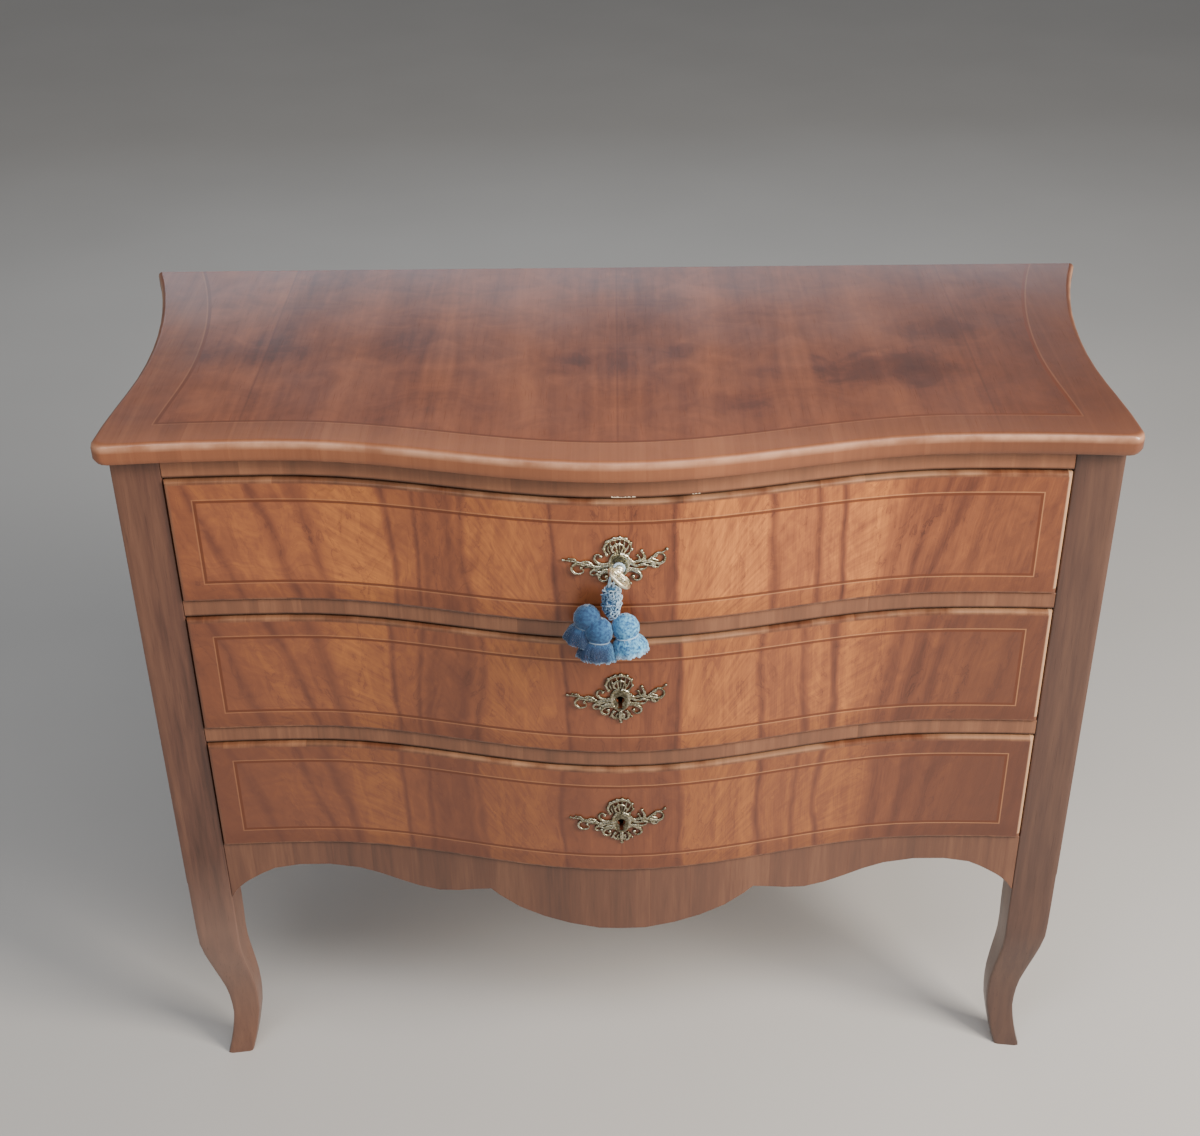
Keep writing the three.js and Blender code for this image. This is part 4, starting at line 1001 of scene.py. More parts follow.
# %% Give the hidden solids their finish
hidden = 0
for node, solid in solids.items():
    if node in DRESSED or node.startswith("backboard") or node.endswith(("side_left", "side_right", "_back")):
        continue
    lies_across = any(word in node for word in ("back", "rail", "bottom"))
    solid.data.materials.clear()
    solid.data.materials.append(IRON if "lock" in node else BARE_X if lies_across else BARE_Y)
    hidden += 1
print("hidden solids:", hidden)

# %% [markdown]
# ## Brass
# The mounts were cast from one pattern and never lacquered. Their high places are rubbed to pale
# yellow, and grime and green lie in the hollows. The relief is small, so the finish reads how far a
# point stands off the drawer's face, from the same formula as the wood: near the wood it is dark,
# and out on the scrolls it is bright. The two lower mounts are painted darker, as painted shade,
# because they hang lower, out of the light. The key is of a paler, whiter brass.

# %% Aged brass and key brass
def cast_brass():
    """Brass that is dark in its hollows and rubbed bright on its high places."""
    finish = Finish("aged_brass", Metallic=1.0)
    relief = finish.times(finish.behind(DRAWER_PROUD), -1.0)
    spots = finish.noise(420, detail=4)
    high = finish.span(finish.times_plus(spots, 0.0022, relief), 0.0020, 0.0038, smooth=True)
    low = finish.mix(finish.noise(300), tone(58, 50, 38), tone(92, 90, 70))
    patches = finish.span(finish.noise(620, detail=2), 0.42, 0.58)
    colour = finish.mix(high, low, finish.mix(patches, tone(166, 156, 120), tone(244, 240, 216)))
    x, y, z = finish.axes()
    # Painted shade: the two lower mounts are darkened.
    colour = finish.mix(finish.span(z, 0.66, 0.72, 0.42, 0.0), colour, tone(84, 74, 56))
    finish.bump(finish.noise(800, detail=3), 0.0004, 0.6)
    return finish.paint(colour, finish.span(high, 0, 1, 0.5, 0.26))


def key_brass():
    """Pale brass that is handled every day."""
    finish = Finish("key_brass", Metallic=1.0)
    worn = finish.noise(260, detail=5)
    colour = finish.mix(finish.span(worn, 0.4, 0.65), tone(250, 246, 224), tone(212, 202, 166))
    finish.bump(finish.noise(1100), 0.0001, 0.4)
    return finish.paint(colour, finish.span(worn, 0.35, 0.7, 0.32, 0.5))


AGED_BRASS = cast_brass()
KEY_BRASS = key_brass()


# %% [markdown]
# ## Rods and strokes
# The mount, the key, the cord and the yarn are all drawn as lines that are given a thickness. In
# Blender that is a curve with a round bevel. A Bezier curve with automatic handles passes smoothly
# through the places it is given. Once drawn, each curve is converted to a mesh.

# %% Helpers for drawn lines
MM = 0.001


def tube(name, thick, rounds):
    """An empty curve that gives its lines a round thickness."""
    line = bpy.data.curves.new(name, "CURVE")
    line.dimensions = "3D"
    line.bevel_depth = thick
    line.bevel_resolution = rounds
    line.use_fill_caps = True
    return line


def bend_through(line, places, closed=False):
    """Adds a smooth line through these places to a curve, and returns its knots."""
    spline = line.splines.new("BEZIER")
    spline.use_cyclic_u = closed
    spline.bezier_points.add(len(places) - 1)
    for knot, place in zip(spline.bezier_points, places):
        knot.co = place
        knot.handle_left_type = knot.handle_right_type = "AUTO"
    return spline.bezier_points


def meshed(line):
    """The curve set into the scene and converted to a mesh."""
    item = bpy.data.objects.new(line.name, line)
    bpy.context.scene.collection.objects.link(item)
    pick(item)
    bpy.ops.object.convert(target="MESH")
    return bpy.context.object


# %% [markdown]
# ## The escutcheon
# One pattern was carved, and all three mounts were cast from it: a shield round the keyhole, a
# shell above, scrolls to both sides, curls and a drop below. The scrolls are drawn as one stroke
# each, thick in the middle and thin at the tips, on the curved face of the drawer. Balls end the
# curls. Each stroke is written down as its places across and up from the keyhole, in millimetres,
# and its thickness.

# %% One stroke and one ball
STROKE = 1.55
TIP = 0.45
STAND_OFF = 0.9


def on_face(across, up, off=STAND_OFF):
    """A place on the mount: millimetres across and up from the keyhole, and off the wood."""
    return Vector((across * MM, drawer_y(across * MM) - off * MM, KEYHOLE + up * MM))


def stroke(points, thick, off):
    """One scroll through these points, thin at its two tips."""
    line = tube("stroke", STROKE * thick * MM, 2)
    line.resolution_u = 5
    for index, knot in enumerate(bend_through(line, [on_face(*point, off) for point in points])):
        share = index / (len(points) - 1)
        knot.radius = TIP + (1 - TIP) * math.sin(math.pi * min(1, share * 1.15 + 0.1)) ** 0.7
    return meshed(line)


def ball(across, up, size, off=STAND_OFF):
    """A small ball that ends a curl."""
    bpy.ops.mesh.primitive_uv_sphere_add(
        segments=14, ring_count=8, radius=size * MM, location=on_face(across, up, off)
    )
    return bpy.context.object


print("keyhole at", tuple(round(value, 4) for value in on_face(0, 0)))

# %% [markdown]
# ## The wings of the mount
# To both sides runs a long stem that ends in a curl, with shorter leaves along it. The right wing
# stands higher than the left, so neither is the mirror of the other, and each is written down.

# %% Write down the strokes of the wings
WINGS = [
    # right wing: long stem, upper line to the tip, big curl, leaves
    (
        [
            (6, 3), (12, 2), (20, 4.5), (30, 3.5), (37.5, 1.5), (43, 1), (47.2, 5), (46, 11), (41.5, 12.5),
            (37.5, 10),
        ],
        1.25,
    ),
    ([(30, 5), (35, 9.5), (40, 13.5), (45, 14), (48.9, 17)], 0.9),
    ([(22, 4.5), (26, 8), (25.5, 12.5), (23.5, 16.5)], 1.35),
    ([(20, 3), (21, 8), (19.5, 11)], 0.9),
    ([(33, 3), (35, -2), (39.5, -3.5), (42, 0)], 0.9),
    ([(28, 3), (32, 6.5), (37, 6), (41, 4)], 1.0),
    ([(12, 1), (18, -1), (25, 0.5), (31, -1.5), (36, -1)], 1.1),
    # left wing: stem to the tip, ring, hook, leaves
    ([(-6, 1), (-14, -1.5), (-24, -2), (-33, 0), (-42, 2.5), (-50, 4), (-57, 4.5)], 1.2),
    ([(-35, -1), (-43, 1), (-48.5, -3), (-47, -9), (-41.5, -11), (-36.5, -7.5), (-39, -4)], 1.0),
    ([(-10, 2), (-18, 1), (-23.5, 4), (-25, 9), (-21.5, 12.5), (-18.5, 10)], 1.15),
    ([(-14, -2), (-22, -5), (-29, -8), (-28, -12), (-23, -11.5)], 1.0),
    ([(-26, -1), (-31, 3.5), (-36, 4), (-39, 2.5)], 0.9),
    ([(-12, -3), (-20, -3.5), (-28, -2.5), (-35, -3.5)], 1.1),
    ([(-43, 2.5), (-46, 6), (-51, 6.5)], 0.7),
]
print("strokes of the wings:", len(WINGS))

# %% [markdown]
# ## The curls and the drop
# Below the keyhole a curl turns in from each side, and a drop hangs between them. The drop is the
# thickest stroke of all.

# %% Write down the strokes of the curls
CURLS = [
    # lower curls, left and right
    ([(-6, -9), (-12, -8), (-18, -10), (-20.5, -15), (-17, -19), (-12.5, -17.5), (-13, -14)], 1.2),
    ([(6, -9), (12, -6), (18, -8), (22.5, -12), (21, -17.5), (16, -18), (14.5, -14)], 1.2),
    ([(10, -3.5), (16, -4.5), (22, -5.5), (27, -4.5), (29, -1)], 1.0),
    ([(-9, -5), (-15, -6), (-21, -8), (-24, -7)], 0.9),
    ([(-7, -14), (-9, -20), (-5, -25), (-1, -24)], 1.1),
    ([(7, -14), (9, -20), (6, -25.5), (1.5, -24)], 1.1),
    ([(0, -14), (0.5, -18), (0, -23), (0, -27)], 1.9),
    ([(-2, -17), (-4.5, -21), (-2.5, -26)], 0.9),
    ([(2, -17), (4.5, -21), (2.5, -26)], 0.9),
    ([(-5, -15), (-8, -17), (-11, -22)], 0.9),
    ([(5, -15), (9, -17), (12, -22)], 0.9),
]
print("strokes of the curls:", len(CURLS))

# %% [markdown]
# ## The shell and the collar
# Above the keyhole stands a shell: a rim, an inner rim and ribs that spread to it. A collar runs
# down both sides of the shield.

# %% Write down the strokes of the shell
SHELL = [
    # shell: rim, inner rim and ribs
    (
        [
            (-12.5, 12.5), (-15, 19.5), (-12, 27), (-5, 31), (1, 32), (7, 30.5), (11.5, 25.5), (12.5, 18.5),
            (9.5, 13),
        ],
        1.15,
    ),
    ([(-6, 15), (-7, 20), (-3, 24.5), (1.5, 25), (5.5, 22), (6, 17)], 1.0),
    ([(-9, 13), (-11, 19), (-11, 25)], 0.9),
    ([(-4, 14), (-8, 21), (-9, 27)], 0.8),
    ([(-1.5, 15), (-3, 24.5), (-4, 30.5)], 0.8),
    ([(0.5, 15), (1, 26), (1, 31.5)], 0.8),
    ([(2.5, 15), (5, 23.5), (6, 30)], 0.8),
    ([(4.5, 14), (8.5, 20.5), (10.5, 25.5)], 0.8),
    # collar of the shield, both sides
    ([(-1, 14), (-6, 11.5), (-9, 5), (-9, -2), (-7.5, -8), (-4, -13), (0, -15)], 1.3),
    ([(1, 14), (6, 11.5), (9, 5), (9, -2), (7.5, -8), (4, -13), (0, -15)], 1.3),
    ([(1, 13), (6, 11.5), (11, 7), (15.5, 3)], 1.6),
]
print("strokes of the shell:", len(SHELL))

# %% [markdown]
# ## The mount drawn
# Every stroke is drawn on the face of the top drawer. Strokes that cross lie one over the other, as
# a carver would have them, so each third one stands off a little further. Balls mark the ends of
# the curls, and a row of beads runs down the right side of the shield.

# %% Draw the strokes and the balls
OVER = 0.4
BALLS = [
    (-57.5, 4.6, 1.5), (49.2, 17.3, 1.7), (37.8, 10, 2.0), (-38.8, -4, 1.9), (-18.6, 9.8, 2.1),
    (23.3, 16.8, 1.8), (42, 0.2, 1.6), (-22.6, -11.4, 1.7), (-13.2, -14, 2.2), (14.6, -13.8, 2.2),
    (29, -0.8, 1.6), (0.5, -29, 2.2), (-1.2, -23.8, 1.7), (1.6, -23.6, 1.7), (-12.5, 12.2, 2.0),
    (9.4, 12.6, 1.9), (-12.5, 27.6, 2.0), (-5, 31.8, 2.0), (1, 32.8, 2.1), (7.4, 31.2, 2.0),
    (12.2, 26, 2.0), (-15.6, 19.8, 1.8), (13.3, 18.6, 1.8), (-11.2, -22.4, 1.4), (12.2, -22.4, 1.4),
    (-51.6, 6.6, 1.2), (19.2, 11.4, 1.4), (-24.6, -6.8, 1.4), (36.6, -1, 1.4),
]
strokes = [
    stroke(points, thick, STAND_OFF + OVER * (index % 3))
    for index, (points, thick) in enumerate(WINGS + CURLS + SHELL)
]
balls = [ball(*one) for one in BALLS]
beads = [ball(2.4 + 2.3 * step, 12.3 - 1.65 * step, 1.8, 1.7) for step in range(6)]
print("strokes:", len(strokes), "balls:", len(balls) + len(beads))

# %% [markdown]
# ## The shield
# A flat oval plate carries the keyhole, which is a round eye over a slot. The plate is a cylinder
# squeezed to an oval. The eye and the slot are kept as a cylinder and a box, to be cut out when the
# strokes have been melted on to the plate.

# %% Make the shield and the shapes of its keyhole
SHIELD_WIDE, SHIELD_HIGH = 8.6, 14
EYE = 4.6
SLOT_WIDE, SLOT_HIGH = 4.4, 12
FACING = (math.pi / 2, 0, 0)

bpy.ops.object.select_all(action="DESELECT")
bpy.ops.mesh.primitive_cylinder_add(
    vertices=40, radius=1, depth=1.5 * MM, location=on_face(0, -0.5, 0.75), rotation=FACING
)
shield = bpy.context.object
shield.scale = (SHIELD_WIDE * MM, SHIELD_HIGH * MM, 1)
bpy.ops.object.transform_apply(location=False, rotation=True, scale=True)
bpy.ops.mesh.primitive_cylinder_add(
    vertices=24, radius=EYE * MM, depth=8 * MM, location=on_face(0, 0), rotation=FACING
)
round_hole = bpy.context.object
bpy.ops.mesh.primitive_cube_add(size=1, location=on_face(0, -SLOT_HIGH / 2))
slot_hole = bpy.context.object
slot_hole.scale = (SLOT_WIDE * MM, 8 * MM, SLOT_HIGH * MM)
print("shield:", 2 * SHIELD_WIDE, "by", 2 * SHIELD_HIGH, "mm")

# %% [markdown]
# ## The casting
# Metal runs together in a mould, and a voxel remesh does the same: strokes, balls and plate become
# one skin. A light smoothing rounds the corners between them. Then the keyhole is cut, the back is
# laid flat against the wood, and a decimate takes out the points that the shape can do without.

# %% Melt the strokes into one casting
pick(*strokes, *balls, *beads, shield)
bpy.ops.object.transform_apply(location=True, rotation=True, scale=True)
bpy.ops.object.join()
mount = bpy.context.object
mount.name = "drawer_1_mount"
modify(mount, "REMESH", mode="VOXEL", voxel_size=0.42 * MM)
modify(mount, "SMOOTH", factor=0.5, iterations=2)
for hole in (round_hole, slot_hole):
    modify(mount, "BOOLEAN", operation="DIFFERENCE", object=hole, solver="EXACT")
    bpy.data.objects.remove(hole)
for vertex in mount.data.vertices:
    vertex.co.y = min(vertex.co.y, drawer_y(vertex.co.x) - 0.05 * MM)
modify(mount, "DECIMATE", ratio=0.35)
bpy.ops.object.shade_smooth_by_angle(angle=math.radians(60))
mount.data.materials.clear()
mount.data.materials.append(AGED_BRASS)
print("mount:", len(mount.data.polygons), "faces")

# %% [markdown]
# ## Two more castings
# The lower drawers carry the same mount, one pitch and two pitches further down. Each copy has its
# own mesh, and each rides on its own drawer.

# %% Copy the casting to the drawers below
mounts = [mount]
for number in (2, 3):
    pick(mount)
    bpy.ops.object.duplicate()
    copy = bpy.context.object
    copy.name = f"drawer_{number}_mount"
    bpy.ops.transform.translate(value=(0, 0, -DRAWER_PITCH * (number - 1)))
    bpy.ops.object.transform_apply(location=True, rotation=False, scale=False)
    mounts.append(copy)
for number, item in enumerate(mounts, 1):
    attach(item, f"drawer_{number}")
    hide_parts(f"drawer_{number}_escutcheon")
print("mounts:", [item.name for item in mounts])

# %% [markdown]
# ## Lock screws
# Each lock is held to the inside of its drawer front by four screws with a domed, slotted head. One
# head is turned from a cylinder, its slot is cut, and it is copied to the corners of each lock.

# %% Screw the locks to the drawers
LOCK_BACK = -0.2012
SCREW_PLACES = ((-0.026, 0.7640), (0.026, 0.7640), (-0.026, 0.8300), (0.026, 0.8300))
SCREW_HEAD = 3.1
SCREW_SLOT = 0.8


def screw_head():
    """One slotted head, standing on y = 0."""
    bpy.ops.object.select_all(action="DESELECT")
    bpy.ops.mesh.primitive_cylinder_add(
        vertices=28, radius=SCREW_HEAD * MM, depth=1.3 * MM, location=(0, 0.5 * MM, 0), rotation=FACING
    )
    head = bpy.context.object
    bpy.ops.mesh.primitive_cube_add(size=1, location=(0, 1.15 * MM, 0))
    slot = bpy.context.object
    slot.scale = (8 * MM, 1.0 * MM, SCREW_SLOT * MM)
    modify(head, "BEVEL", width=0.4 * MM, segments=3, limit_method="ANGLE", angle_limit=math.radians(40))
    modify(head, "BOOLEAN", operation="DIFFERENCE", object=slot, solver="EXACT")
    bpy.data.objects.remove(slot)
    pick(head)
    bpy.ops.object.transform_apply(location=True, rotation=True, scale=True)
    return head


first_head = screw_head()
for number in (1, 2, 3):
    heads = []
    for index, (x, z) in enumerate(SCREW_PLACES):
        pick(first_head)
        bpy.ops.object.duplicate()
        head = bpy.context.object
        head.location = (x, LOCK_BACK, z - DRAWER_PITCH * (number - 1))
        head.rotation_euler = (0, 0.7 * number + 1.9 * index, 0)
        heads.append(head)
    pick(*heads)
    bpy.ops.object.join()
    screws = bpy.context.object
    screws.name = f"drawer_{number}_lock_screws"
    bpy.ops.object.transform_apply(location=True, rotation=True, scale=True)
    bpy.ops.object.shade_smooth_by_angle(angle=math.radians(35))
    screws.data.materials.clear()
    screws.data.materials.append(IRON)
    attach(screws, f"drawer_{number}")
bpy.data.objects.remove(first_head)
print("screws:", 3 * len(SCREW_PLACES))

# %% [markdown]
# ## The bow of the key
# The key stays in the top lock, and its bow stands at a slant, as it did when the lock was last
# turned. The bow is an oval ring with two scrolls and a stem inside. It is drawn in its own plane,
# which holds the shank, with rods that are as even as the wax such a bow is built from.

# %% Draw the bow
KEY_TIP = -0.2648
KEY_SLANT = math.radians(44)
BOW_MIDDLE = KEY_TIP + 0.012
RING_WIDE, RING_LONG = 13.2, 10.2


def draw(places, thick, closed=False):
    """A rod bent through these places, in metres, as thick as told."""
    line = tube("rod", thick, 3)
    bend_through(line, places, closed)
    return meshed(line)


def on_bow(across, along):
    """A place in the plane of the bow: millimetres across the shank and towards the lock."""
    out = across * MM
    return Vector((out * math.cos(KEY_SLANT), BOW_MIDDLE + along * MM, KEYHOLE - out * math.sin(KEY_SLANT)))


turns = [step * math.pi / 6 for step in range(12)]
ring = [on_bow(RING_WIDE * math.cos(turn), RING_LONG * math.sin(turn)) for turn in turns]
key_parts = [draw(ring, 2.0 * MM, closed=True)]
for side in (-1, 1):
    hook = [(0, 8), (side * 4, 5), (side * 8.5, 4.5), (side * 9.5, 0), (side * 6.5, -3.5), (side * 3.5, -1)]
    brace = [(side * 6.5, -3.5), (side * 3, -7), (0, -9.5)]
    key_parts += [draw([on_bow(*one) for one in scroll], 1.5 * MM) for scroll in (hook, brace)]
key_parts.append(draw([on_bow(0, 9), on_bow(0, 4), on_bow(0, -1)], 1.7 * MM))
print("bow:", len(key_parts), "rods")

# %% [markdown]
# ## Shank, collars and bit
# The shank is a rod that was turned, with three rings where it meets the bow. The bit at its end is
# a flat tongue that lifts the bolt; it is hidden in the lock, at the same slant as the bow. A
# cylinder, three toruses and a box do for them, because the remesh rounds their edges.

# %% Turn the shank and add the bit
SHANK = 3.0
SHANK_START, SHANK_END = BOW_MIDDLE + 0.009, -0.2033
COLLARS = ((0.0125, 3.2), (0.0150, 3.9), (0.0175, 3.2))
BIT_OUT, BIT_Y = 5.0, -0.2077

bpy.ops.object.select_all(action="DESELECT")
bpy.ops.mesh.primitive_cylinder_add(
    vertices=32,
    radius=SHANK * MM,
    depth=SHANK_END - SHANK_START,
    location=(0, (SHANK_END + SHANK_START) / 2, KEYHOLE),
    rotation=FACING,
)
key_parts.append(bpy.context.object)
for along, radius in COLLARS:
    bpy.ops.mesh.primitive_torus_add(
        major_segments=32,
        minor_segments=10,
        major_radius=radius * MM,
        minor_radius=1.1 * MM,
        location=(0, BOW_MIDDLE + along, KEYHOLE),
        rotation=FACING,
    )
    key_parts.append(bpy.context.object)
bit_middle = on_bow(BIT_OUT, 0)
bit_middle.y = BIT_Y
bpy.ops.mesh.primitive_cube_add(size=1, location=bit_middle, rotation=(0, KEY_SLANT, 0))
bit = bpy.context.object
bit.scale = (9.6 * MM, 3.6 * MM, 2.6 * MM)
key_parts.append(bit)
print("key parts:", len(key_parts))

# %% [markdown]
# ## The key in one piece
# The parts of the key are melted together in the same way as the mount. The voxels are a little
# smaller, because the scrolls of the bow are thin.

# %% Melt the key together
pick(*key_parts)
bpy.ops.object.transform_apply(location=True, rotation=True, scale=True)
bpy.ops.object.join()
lock_key = bpy.context.object
lock_key.name = "lock_key"
modify(lock_key, "REMESH", mode="VOXEL", voxel_size=0.35 * MM)
modify(lock_key, "SMOOTH", factor=0.5, iterations=2)
modify(lock_key, "DECIMATE", ratio=0.4)
bpy.ops.object.shade_smooth_by_angle(angle=math.radians(50))
lock_key.data.materials.clear()
lock_key.data.materials.append(KEY_BRASS)
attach(lock_key, "key")
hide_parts("key")
print("key:", len(lock_key.data.polygons), "faces")

# %% [markdown]
# ## Blue yarn
# The tassel is of soft wool yarn, bright blue where the light from the window falls on it, and its
# cut ends are pale. Each strand is a thin tube, so the finish only adds fluff: a sheen at the rim,
# fine fibres in the relief, and a colour that varies from strand to strand. Each tuft carries a
# value from its knot, 0, to its cut ends, and a ramp along it gives the pale ends. The loops of
# the head have values up to 1, which is palest.

# %% Blue yarn
YARN_PALENESS = ((0.0, 0.0), (0.82, 0.0), (0.88, 0.3), (0.9, 0.35), (1.0, 0.95))
CUT_ENDS = tone(200, 222, 236)


def blue_yarn():
    """Wool yarn: darker to the left, brighter to the right, pale where it is marked so."""
    finish = Finish("blue_yarn", Sheen_Weight=0.6, Sheen_Roughness=0.4)
    finish.give(finish.shader.inputs["Sheen Tint"], (0.75, 0.88, 1.0, 1))
    strand = finish.noise(330, detail=3)
    along = finish.nodes.new("ShaderNodeAttribute")
    along.attribute_name = "along"
    base = finish.mix(finish.span(strand, 0.35, 0.65), tone(30, 74, 124), tone(72, 138, 188))
    x, y, z = finish.axes()
    shade = finish.span(finish.times_plus(z, 0.5, x), 0.330, 0.366, 0.7, 0.0)
    skirt = finish.span(along.outputs["Fac"], 0.5, 0.62, 0.0, 0.25)
    shade = finish.times(finish.plus(shade, skirt), finish.span(x, -0.004, 0.004, 1.0, 0.25))
    base = finish.mix(shade, base, tone(26, 44, 74))
    sunny = finish.mix(finish.span(strand, 0.38, 0.62), tone(44, 104, 156), tone(126, 200, 234))
    base = finish.mix(finish.span(x, -0.014, 0.016, 0.0, 0.9), base, sunny)
    colour = finish.mix(finish.ramp(along.outputs["Fac"], YARN_PALENESS), base, CUT_ENDS)
    finish.bump(finish.noise(1500, detail=2), 0.0003, 0.6)
    return finish.paint(colour, 0.85)


YARN = blue_yarn()

# %% [markdown]
# ## The tassel's cord
# A thin cord of two strands is looped round the shank of the key, and both its ends go into the
# head of the tassel. The line of the loop is drawn first, through places written down in
# millimetres: across from the middle of the chest, and back and up from the top of the tassel's
# head. The winding of the strands follows.

# %% Draw the loop round the shank
HEAD = Vector((-0.008, -0.2418, 0.7565))
LOOP = (
    (-10.4, 2, 0), (-10.4, 2.1, 2), (-9.6, 5, 6.5), (-7.8, 7.4, 12), (-5.7, 8, 16.8), (-4.7, 8, 21.2),
    (-2.2, 8, 23.8), (0.6, 8, 24.2), (3.4, 8, 22.9), (5.1, 8, 20.2), (5, 8, 17.4), (3.5, 8, 14.9),
    (0, 7.4, 12), (-3.6, 5.4, 7.4), (-6, 2.1, 2), (-6, 2, 0),
)


def smooth_line(places):
    """The points of a smooth line through these places."""
    line = tube("guide", 0, 0)
    line.resolution_u = 6
    bend_through(line, places)
    guide = meshed(line)
    points = [vertex.co.copy() for vertex in guide.data.vertices]
    bpy.data.objects.remove(guide)
    return points


def strands(name, lines, thick, rounds=1):
    """Many thin tubes in one piece, one for each line of points."""
    yarn = tube(name, thick, rounds)
    for points in lines:
        spline = yarn.splines.new("POLY")
        spline.points.add(len(points) - 1)
        for knot, point in zip(spline.points, points):
            knot.co = (*point, 1)
    item = meshed(yarn)
    bpy.ops.object.shade_smooth()
    return item


def mark_along(item, marks):
    """Stores a value for each point, which the finish of the yarn reads as paleness."""
    values = item.data.attributes.new("along", "FLOAT", "POINT")
    values.data.foreach_set("value", marks)


loop_line = smooth_line([(x * MM, HEAD.y + y * MM, HEAD.z + (z + 0.3) * MM) for x, y, z in LOOP])
print("loop:", len(loop_line), "points")

# %% [markdown]
# ## Two strands wound round each other
# A cord is told from a wire by its twist. Each strand stands off the line of the loop by less than
# half the cord's thickness and goes once round it every five millimetres. The two start on
# opposite sides. The twist is reckoned by length along the middle line of the loop.

# %% Wind the cord
CORD_TURN = 0.005
STRAND_OUT = 0.00068
STRAND_THICK = 0.00082

wound = []
for start in (0, math.pi):
    strand_line = []
    gone = 0.0
    for index, point in enumerate(loop_line):
        ahead = loop_line[min(index + 1, len(loop_line) - 1)] - loop_line[max(index - 1, 0)]
        side = ahead.cross(Vector((0, 1, 0))).normalized()
        other = ahead.cross(side).normalized()
        angle = start + gone / CORD_TURN * 2 * math.pi
        strand_line.append(point + (side * math.cos(angle) + other * math.sin(angle)) * STRAND_OUT)
        if index + 1 < len(loop_line):
            gone += (loop_line[index + 1] - point).length
    wound.append(strand_line)
tassel_cord = strands("tassel_cord", wound, STRAND_THICK, 2)
mark_along(tassel_cord, [0.98] * len(tassel_cord.data.vertices))
tassel_cord.data.materials.append(YARN)
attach(tassel_cord, "tassel")
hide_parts("tassel_loop")

# %% [markdown]
# ## The tassel's head
# Over a core of the head's shape lie rows of little loops of yarn, as a knitted cover has them.
# The core comes first. It is round, so it is drawn as half an outline, point by point, and spun
# about its middle. Where the spin meets its own start, the doubled points are merged.

# %% Spin the core
HEAD_PROFILE = (
    (0.5, 0), (4.8, -0.6), (7.0, -4), (6.8, -9), (6.4, -13), (7.6, -18), (7.2, -23), (5.0, -29), (2.4, -34),
    (0.4, -36),
)


def spun(name, profile, middle):
    """A profile of (radius, height) in millimetres, drawn point by point and spun round."""
    places = [middle + Vector((radius, 0, height)) * MM for radius, height in profile]
    bpy.ops.object.select_all(action="DESELECT")
    bpy.ops.mesh.primitive_plane_add(size=MM, location=places[0])
    item = bpy.context.object
    item.name = name
    bpy.ops.object.transform_apply(location=True)
    edit(item)
    bpy.ops.mesh.merge(type="CENTER")
    for before, after in zip(places, places[1:]):
        bpy.ops.mesh.extrude_vertices_move(TRANSFORM_OT_translate={"value": after - before})
    bpy.ops.mesh.select_all(action="SELECT")
    bpy.ops.mesh.spin(steps=28, angle=2 * math.pi, center=middle, axis=(0, 0, 1), use_auto_merge=True)
    bpy.ops.mesh.select_all(action="SELECT")
    bpy.ops.mesh.remove_doubles(threshold=0.00002)
    bpy.ops.mesh.normals_make_consistent(inside=False)
    close()
    bpy.ops.object.shade_smooth()
    return item


core = spun("tassel_crown", HEAD_PROFILE, HEAD)
print("core:", len(core.data.polygons), "faces")

# %% [markdown]
# ## The loops on the head
# One loop is modelled, a small ring, and its copies stand in rows on the core. The loops of a
# hand-made cover differ, so chance gives each its size, its tilt and how far it stands out, and a
# row is shifted by half a loop against the row above. The chance has a fixed start, so the head
# comes out the same each time.

# %% Wind the loops on the core
ROWS, ROW_DOWN, LOOP_WIDE = 15, 2.3, 2.9


def radius_at(profile, height):
    """How wide the profile is at a height."""
    for (r0, h0), (r1, h1) in zip(profile, profile[1:]):
        if h1 <= height <= h0:
            return r0 + (r1 - r0) * (h0 - height) / (h0 - h1)
    return 0.5


bpy.ops.object.select_all(action="DESELECT")
bpy.ops.mesh.primitive_torus_add(
    major_segments=9, minor_segments=5, major_radius=1.7 * MM, minor_radius=0.56 * MM
)
first_loop = bpy.context.object
chance = random.Random(11)
loops = []
for row in range(ROWS):
    height = -1.2 - row * ROW_DOWN
    radius = radius_at(HEAD_PROFILE, height) + 0.5
    count = max(4, round(2 * math.pi * radius / LOOP_WIDE))
    for step in range(count):
        turn = 2 * math.pi * (step + 0.5 * (row % 2)) / count + chance.uniform(-0.12, 0.12)
        reach = radius + chance.uniform(-0.3, 2.0)
        tilt = chance.uniform(-0.9, 0.9)
        pick(first_loop)
        bpy.ops.object.duplicate()
        loop = bpy.context.object
        loop.location = HEAD + Vector((reach * math.cos(turn), reach * math.sin(turn), height)) * MM
        loop.scale = [chance.uniform(0.7, 1.5)] * 3
        loop.rotation_euler = (math.pi / 2 + tilt, chance.uniform(-0.7, 0.7), turn + math.pi / 2 + tilt)
        loops.append(loop)
bpy.data.objects.remove(first_loop)
pick(*loops, core)
bpy.ops.object.join()
bpy.ops.object.transform_apply(location=True, rotation=True, scale=True)
bpy.ops.object.shade_smooth()
crown = bpy.context.object
print("head:", len(loops), "loops,", len(crown.data.polygons), "faces")

# %% [markdown]
# ## How pale the head is
# Light catches the loops that stand out, and more of them to the right. So each point gets a value
# from how far it lies outside the core and to the right of the middle, with soft patches, and the
# finish of the yarn turns high values pale.

